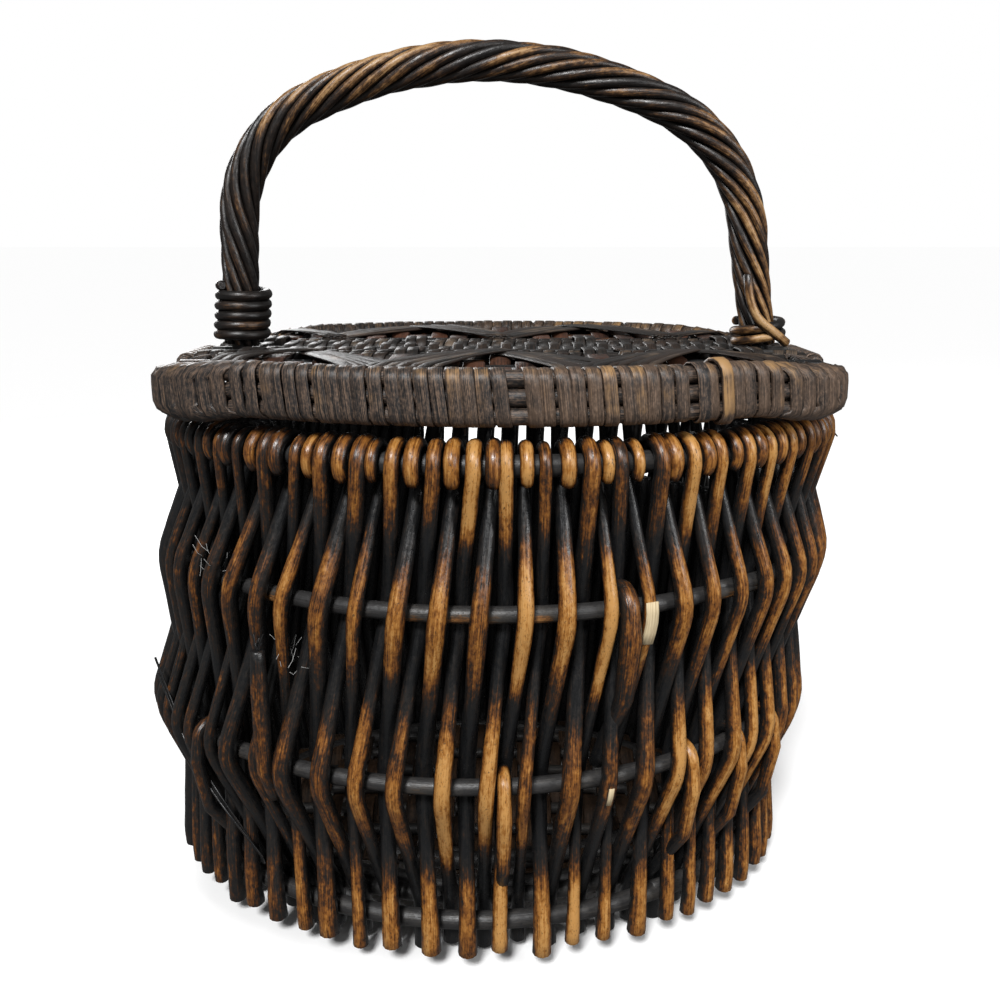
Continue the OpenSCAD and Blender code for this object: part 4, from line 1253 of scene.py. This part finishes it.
for name, way in (("front", 1), ("rear", -1)):
    rng = random.Random(name + " border")
    axis_at = border_axis(way)
    work = new_work()
    lay_core(work, axis_at, 0.0, border_run, 90, rng)
    lay_lobe(work, axis_at, 0.0005, LOBE + 0.004, rng)
    lay_lobe(work, axis_at, border_run - 0.0005, border_run - LOBE - 0.004, rng)
    for k, start in enumerate(spaced(LOBE, border_run - LOBE, WRAP_PITCH)):
        if way > 0 and k == HOLE:
            continue
        x = axis_at(start)[0].x - rim.x
        tight = ease(0.105, 0.135, abs(x))
        thick = SKEIN_T * (1 + 1.1 * tight)
        tone = 0.12 + 0.55 * ease(-0.09, 0.03, x) + 0.5 * (rng.random() - 0.5)
        wear = 0.25 + 0.5 * rng.random() + 0.35 * ease(-0.05, 0.02, x) * rng.random()
        lift = 0.0005 * rng.random()
        start += 0.0014 * (rng.random() - 0.5)
        ring = (ROLL[0] - (thick - SKEIN_T) - 0.0004 + lift, ROLL[1])
        wide = (0.94 + 0.12 * rng.random()) * WRAP_PITCH * (0.475 + 0.16 * tight)
        outwards = math.copysign(tight, x)
        if way > 0 and k == RAISED:
            ring, thick, wear, wide = (ROLL[0] + 0.0012, ROLL[1] + 0.001), 0.0010, 1.6, 0.0030
        if way > 0 and k == LOOSE:
            ring, tone, wear = (ROLL[0] + 0.0006, ROLL[1]), 0.1, 0.2
            start += 0.0022
        pitch = WRAP_PITCH * (1 + 0.5 * (rng.random() - 0.5))
        tilt, bow = 0.5 * outwards, 0.013 * outwards
        rows = wrap_rows(axis_at, ring, start, pitch, wide, thick, wear, tilt, bow=bow)
        lay_skein(work, rows, tone, SKEIN + (0.45 if x > 0 else 0.2) * tight)
    put_piece(name + "_border", work, border_finish, name + "_lid", "border_skein", name + "_lid_border")

# %% [markdown]
# ## Hinges, ribs and splints of the lids
# A lid hangs on four loops of skein, which go round the bridge's edge rod and the lid's own bound rod.
# Three ribs run along the lid, and wide splints are woven through them. They show as red-brown patches
# under the fans. A picture of a weave on a plate would be quicker, but an open lid shows the light
# between the splints. All of it rides on its own lid, and only the loops reach the bridge.

# %% Room inside a border
rod_low, rod_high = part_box("front_lid_hinge_rod")
lid_rod_y = -(rod_low.y + rod_high.y) / 2
lid_rod_half = (rod_high.x - rod_low.x) / 2
rib_low, rib_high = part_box("front_lid_ribs")
RIB_R = 0.0025
rib_z = (rib_low.z + rib_high.z) / 2
RIBS_Y = (0.1012, 0.0792, 0.0572)
inner_r_of_border = front_r - BORDER_W - 0.0008


def inside_y(x):
    """How far out the inner face of a border is, at a distance from the lid's middle."""
    return math.sqrt(inner_r_of_border**2 - x**2) - front_middle


def inside_x(y):
    """How far from the lid's middle the inner face of a border is, at a distance out."""
    if y + front_middle < inner_r_of_border * math.sin(corner_end):
        return corner_x + CORNER_R - BORDER_W - 0.001
    return math.sqrt(inner_r_of_border**2 - (y + front_middle) ** 2)


def loop_axis(y):
    """The axis of a hinge loop, which goes round two rods that lie side by side."""
    return lambda run: (Vector((rim.x + run, y, hinge_z)), Z, Vector((0, 1, 0)))


print("a lid is", round(inside_y(0), 3), "m deep to the inner face of its border")

# %% Hinge rods, loops, ribs and splints
for name, way in (("front", 1), ("rear", -1)):
    rng = random.Random(name + " lid")
    body, node = name + "_lid", name + "_lid_"
    work = new_work()
    lay_bound_rod(work, -way * lid_rod_y, lid_rod_half, rng, 1.0)
    put_piece(name + "_hinge_side", work, fan_finish, body, "lid_willow", node + "hinge_rod")

    work = new_work()
    middle_y = -way * (hinge_y + lid_rod_y) / 2
    for x in LOOPS_X:
        for half in (-1, 1):
            ring = (edge_r + 0.0011, lid_rod_y - hinge_y)
            place = x + half * LOOP_W / 4 - 0.0008
            wide, rub = LOOP_W * 0.235, 0.8 * rng.random()
            rows = wrap_rows(loop_axis(middle_y), ring, place, 0.0016, wide, SKEIN_T, rub)
            lay_skein(work, rows, rng.random() * 0.6)
    put_piece(name + "_hinge_loops", work, fan_finish, body, "lid_willow", node + "loops")

    work = new_work()
    for seed, y in enumerate(RIBS_Y):
        reach = inside_x(y + RIB_R)
        ends = [Vector((rim.x + side * reach, -way * y, rib_z)) for side in (-1, 1)]
        lay_straight(work, *ends, RIB_R, 0.4, seed + 11, 0.4, 10)
    put_piece(name + "_long_ribs", work, stake_finish, body, "lid_splint", node + "ribs")

    work = new_work()
    for k in range(-11, 12):
        x = k * 0.012
        out = inside_y(abs(x) + 0.0045)
        rods = sorted(-way * y for y in RIBS_Y if y < out - 2 * RIB_R)
        start, end = sorted((-way * out, -way * (lid_rod_y + 0.0067)))
        rise, over = RIB_R + 0.00075, 1 - k % 2 * 2
        rows = woven_rows(rim.x + x, rib_z, rods, rise, over, start, end, 0.0051, SKEIN_T, 0.5)
        lay_skein(work, rows, rng.random())
    put_piece(name + "_cross_splints", work, splint_finish, body, "lid_splint", node + "splints")

# %% [markdown]
# ## The fans of skein
# Over the splints, skeins fan out from three points along the hinge side to points along the border,
# and back again, so that the lid has a zigzag of leaves. Flat strips in two layers would do from afar.
# Here each skein is laid by itself, bulges in the middle, and lies partly on its neighbour.

# %% One skein of a fan
FAN_PITCH = 0.094
fan_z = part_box("front_lid_skeins")[0].z - 0.0002


def fan_rows(peak, foot, seed, layer):
    """Rows of one skein of a fan, from the hinge side to the border."""
    rows = []
    for k in range(13):
        t = k / 12
        bow = math.sin(math.pi * t)
        spot = peak.lerp(foot, ease(0, 1, t) * 0.35 + t * 0.65)
        spot.x += 0.0016 * drift(seed, t * 2) * bow
        spot.z = fan_z + 0.0011 * layer + 0.0012 * bow - 0.0018 * ease(0.82, 1, t)
        lean = Vector((0.35 * drift(seed + 3, t * 2), -0.1, 1))
        rub = 0.9 * ease(-0.1, 0.5, drift(seed + 7, t * 3))
        rows.append((spot, lean, 0.0022 + 0.0007 * bow, 0.0005, rub))
    return rows


print("fans lie", round(1000 * (fan_z - hinge_z), 1), "mm above the hinge line")

# %% Two layers of fans on each lid
PEAK_STEP = 0.0018
FOOT_STEP = 0.0052
LOBE_FOOT_Y = 0.072

for name, way in (("front", 1), ("rear", -1)):
    rng = random.Random(name + " fans")
    work = new_work()
    for layer, lean in ((0, 1), (1, -1)):
        legs = [(p * FAN_PITCH, (p + lean / 2) * FAN_PITCH) for p in (-1, 0, 1) if p != lean]
        legs.append((lean * FAN_PITCH, lean * (corner_x - 0.012)))
        for top_x, foot_x in legs:
            for j in range(7):
                k = j - 3
                x = foot_x + k * FOOT_STEP
                y = inside_y(min(abs(x), 0.13)) - 0.001
                if abs(foot_x) > 0.1:
                    y = LOBE_FOOT_Y + 0.004 * k * lean
                x = math.copysign(min(abs(x), inside_x(y) - 0.002), x)
                peak = Vector((rim.x + top_x + k * PEAK_STEP, -way * (lid_rod_y + 0.0015), 0))
                foot = Vector((rim.x + x, -way * y, 0))
                rows = fan_rows(peak, foot, rng.random() * 50, layer + 0.25 * (j % 2))
                lay_skein(work, rows, rng.random(), 0.55)
    axis_at = border_axis(way)
    for first, last in ((0.001, 0.052), (border_run - 0.001, border_run - 0.052)):
        for j in range(5):
            rows = []
            for k in range(15):
                spot, across, long = axis_at(first + (last - first) * k / 14)
                rise = border_h / 2 - 0.0006 + 0.0005 * (j % 2)
                spot = spot - across * (0.0052 + 0.0028 * j) + long * rise
                rub = 0.5 * ease(-0.2, 0.5, drift(j + 60, k * 0.3))
                rows.append((spot, Z + across * 0.3, 0.0020, SKEIN_T, rub))
            lay_skein(work, rows, rng.random(), 0.6)
    put_piece(name + "_fans", work, fan_finish, name + "_lid", "lid_skein", name + "_lid_skeins")

# %% [markdown]
# ## The base
# The base has its own oval hoop, just inside the stakes. Seven long sticks lie on it, and flat splints
# are woven through them. Little of it shows, so a plate would do for the photograph, but the weave is
# what one sees when a lid is open, and the same two helpers make it as before.

# %% The base's hoop
base_frame = read_hoop("base_frame_hoop")
work = new_work()
lay_rod(work, hoop_rows(base_frame, 0.2, 0.05, 21, 0.2), sides=12, tone=0.5)
for inside, up in ((0.0085, 0.0005), (0.0165, 0.0095)):
    half_w, half_d = base_frame.half_w - inside, base_frame.half_d - inside
    ring = Hoop(base_frame.x, half_w, half_d, base_frame.z + up, 0.0088)
    lay_rod(work, hoop_rows(ring, 0.6 + inside * 10, 0.04, 25 + up, 0.2), sides=10, tone=0.4)
put_piece("hoop_of_base", work, base_finish, "basket", "base_willow", "base_frame_hoop")

# %% The base's sticks and splints
stick_low, stick_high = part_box("base_sticks")
stick_r = (stick_high.z - stick_low.z) / 2
stick_z = (stick_high.z + stick_low.z) / 2
STICK_PITCH = 0.022
STICKS_Y = [k * STICK_PITCH for k in range(-3, 4)]
SPLINT_PITCH = 0.009
SPLINT_ENDS_Y = (0.0792, 0.06, 0.04, 0.02)


def oval_reach(hoop, y):
    """Half the width of an oval at a distance from its long axis."""
    end_r, side_r, joint = oval_arcs(hoop)
    if abs(y) < end_r * math.sin(joint):
        return END_CENTRE + math.sqrt(end_r**2 - y**2)
    return math.sqrt(side_r**2 - (abs(y) + side_r - hoop.half_d) ** 2)


work = new_work()
for seed, y in enumerate(STICKS_Y):
    reach = oval_reach(base_frame, y)
    ends = [Vector((base.x + side * reach, y, stick_z)) for side in (-1, 1)]
    lay_straight(work, *ends, stick_r, 0.5, seed + 31, 0.35, 10)
put_piece("sticks_of_base", work, base_finish, "basket", "base_willow", "base_sticks")

work = new_work()
rng = random.Random("base")
for k in range(-13, 14):
    x = k * SPLINT_PITCH
    reach = max(y for y in SPLINT_ENDS_Y if oval_reach(base_frame, y) > abs(x) + 0.008)
    rods = [y for y in STICKS_Y if abs(y) < reach - 0.006]
    rise, over = stick_r + 0.001, 1 - k % 2 * 2
    rows = woven_rows(base.x + x, stick_z, rods, rise, over, -reach, reach, 0.0045, 0.0008)
    lay_skein(work, rows, rng.random())
put_piece("splints_of_base", work, floor_splint_finish, "basket", "base_splint", "base_splints")

# %% [markdown]
# ## Floor and light
# The basket stands on a plain pale floor in soft studio light. A lamp of any kind could light it from
# the left, but only a sun lights the whole floor evenly, and its wide disc keeps the shadow soft. It
# gives each rod its long highlight. A weaker lamp opens the right side, and one behind draws the top
# edges. The floor throws no light back, or the undersides of the rods would glow. The room behind is
# white to the camera but gives only part of that light, so the gaps in the weave stay black.

# %% Floor and room
FLOOR_HALF = 40
ROOM_LIGHT = 0.16
floor_work = bmesh.new()
bmesh.ops.create_grid(floor_work, x_segments=1, y_segments=1, size=FLOOR_HALF)
floor_mesh = bpy.data.meshes.new("floor")
floor_work.to_mesh(floor_mesh)
floor_work.free()
floor = bpy.data.objects.new("floor", floor_mesh)
bpy.context.scene.collection.objects.link(floor)
pale = Finish("pale_floor").shade(Base_Color=(0.98, 0.98, 0.98, 1), Roughness=0.9, Specular_IOR_Level=0.0)
floor_mesh.materials.append(pale)
floor.visible_diffuse = False
floor.visible_glossy = False

room = Finish("pale_room", bpy.data.worlds, "Background")
to_camera = room.node("ShaderNodeLightPath", output="Is Camera Ray")
strength = ROOM_LIGHT + (1 - ROOM_LIGHT) * to_camera
bpy.context.scene.world = room.shade(Color=(1, 1, 1, 1), Strength=strength)
bpy.context.scene.view_settings.view_transform = "Standard"

# %% Lamps
BASKET_MIDDLE = Vector((0, 0, 0.2))


def add_lamp(name, kind, place, power, **settings):
    """A lamp at a place, turned to the middle of the basket."""
    lamp = bpy.data.objects.new(name, bpy.data.lights.new(name, kind))
    lamp.data.energy = power
    for key, value in settings.items():
        setattr(lamp.data, key, value)
    lamp.location = place
    lamp.rotation_euler = (BASKET_MIDDLE - Vector(place)).to_track_quat("-Z", "Y").to_euler()
    bpy.context.scene.collection.objects.link(lamp)
    print(name, "lamp:", kind, power)


add_lamp("key", "SUN", (-0.28, -1.1, 1.35), 3.7, angle=0.24)
add_lamp("fill", "AREA", (1.2, -1.0, 0.8), 12, shape="DISK", size=0.7)
add_lamp("back", "AREA", (-0.7, 1.3, 0.7), 12, shape="DISK", size=0.8)

# %% [markdown]
# ## The camera
# The camera stands where the photograph was taken: a little over half a metre away, higher than the
# lid, and looking down. A longer lens from further off would flatten the hoops' curves, and it is
# those curves that gave the distance. A small shift keeps the basket in the middle of the frame.

# %% Camera
CAMERA_AWAY = 0.57
CAMERA_HEIGHT = 0.346
LOOKS_DOWN = math.radians(12.3)
camera = bpy.data.objects.new("camera", bpy.data.cameras.new("camera"))
camera.data.lens = 38.4
camera.data.sensor_width = 36
camera.data.shift_y = -0.03
camera.location = (rim.x, -CAMERA_AWAY, CAMERA_HEIGHT)
camera.rotation_euler = (math.pi / 2 - LOOKS_DOWN, 0, 0)
bpy.context.scene.collection.objects.link(camera)
bpy.context.scene.camera = camera
print("the camera stands at", [round(v, 3) for v in camera.location])
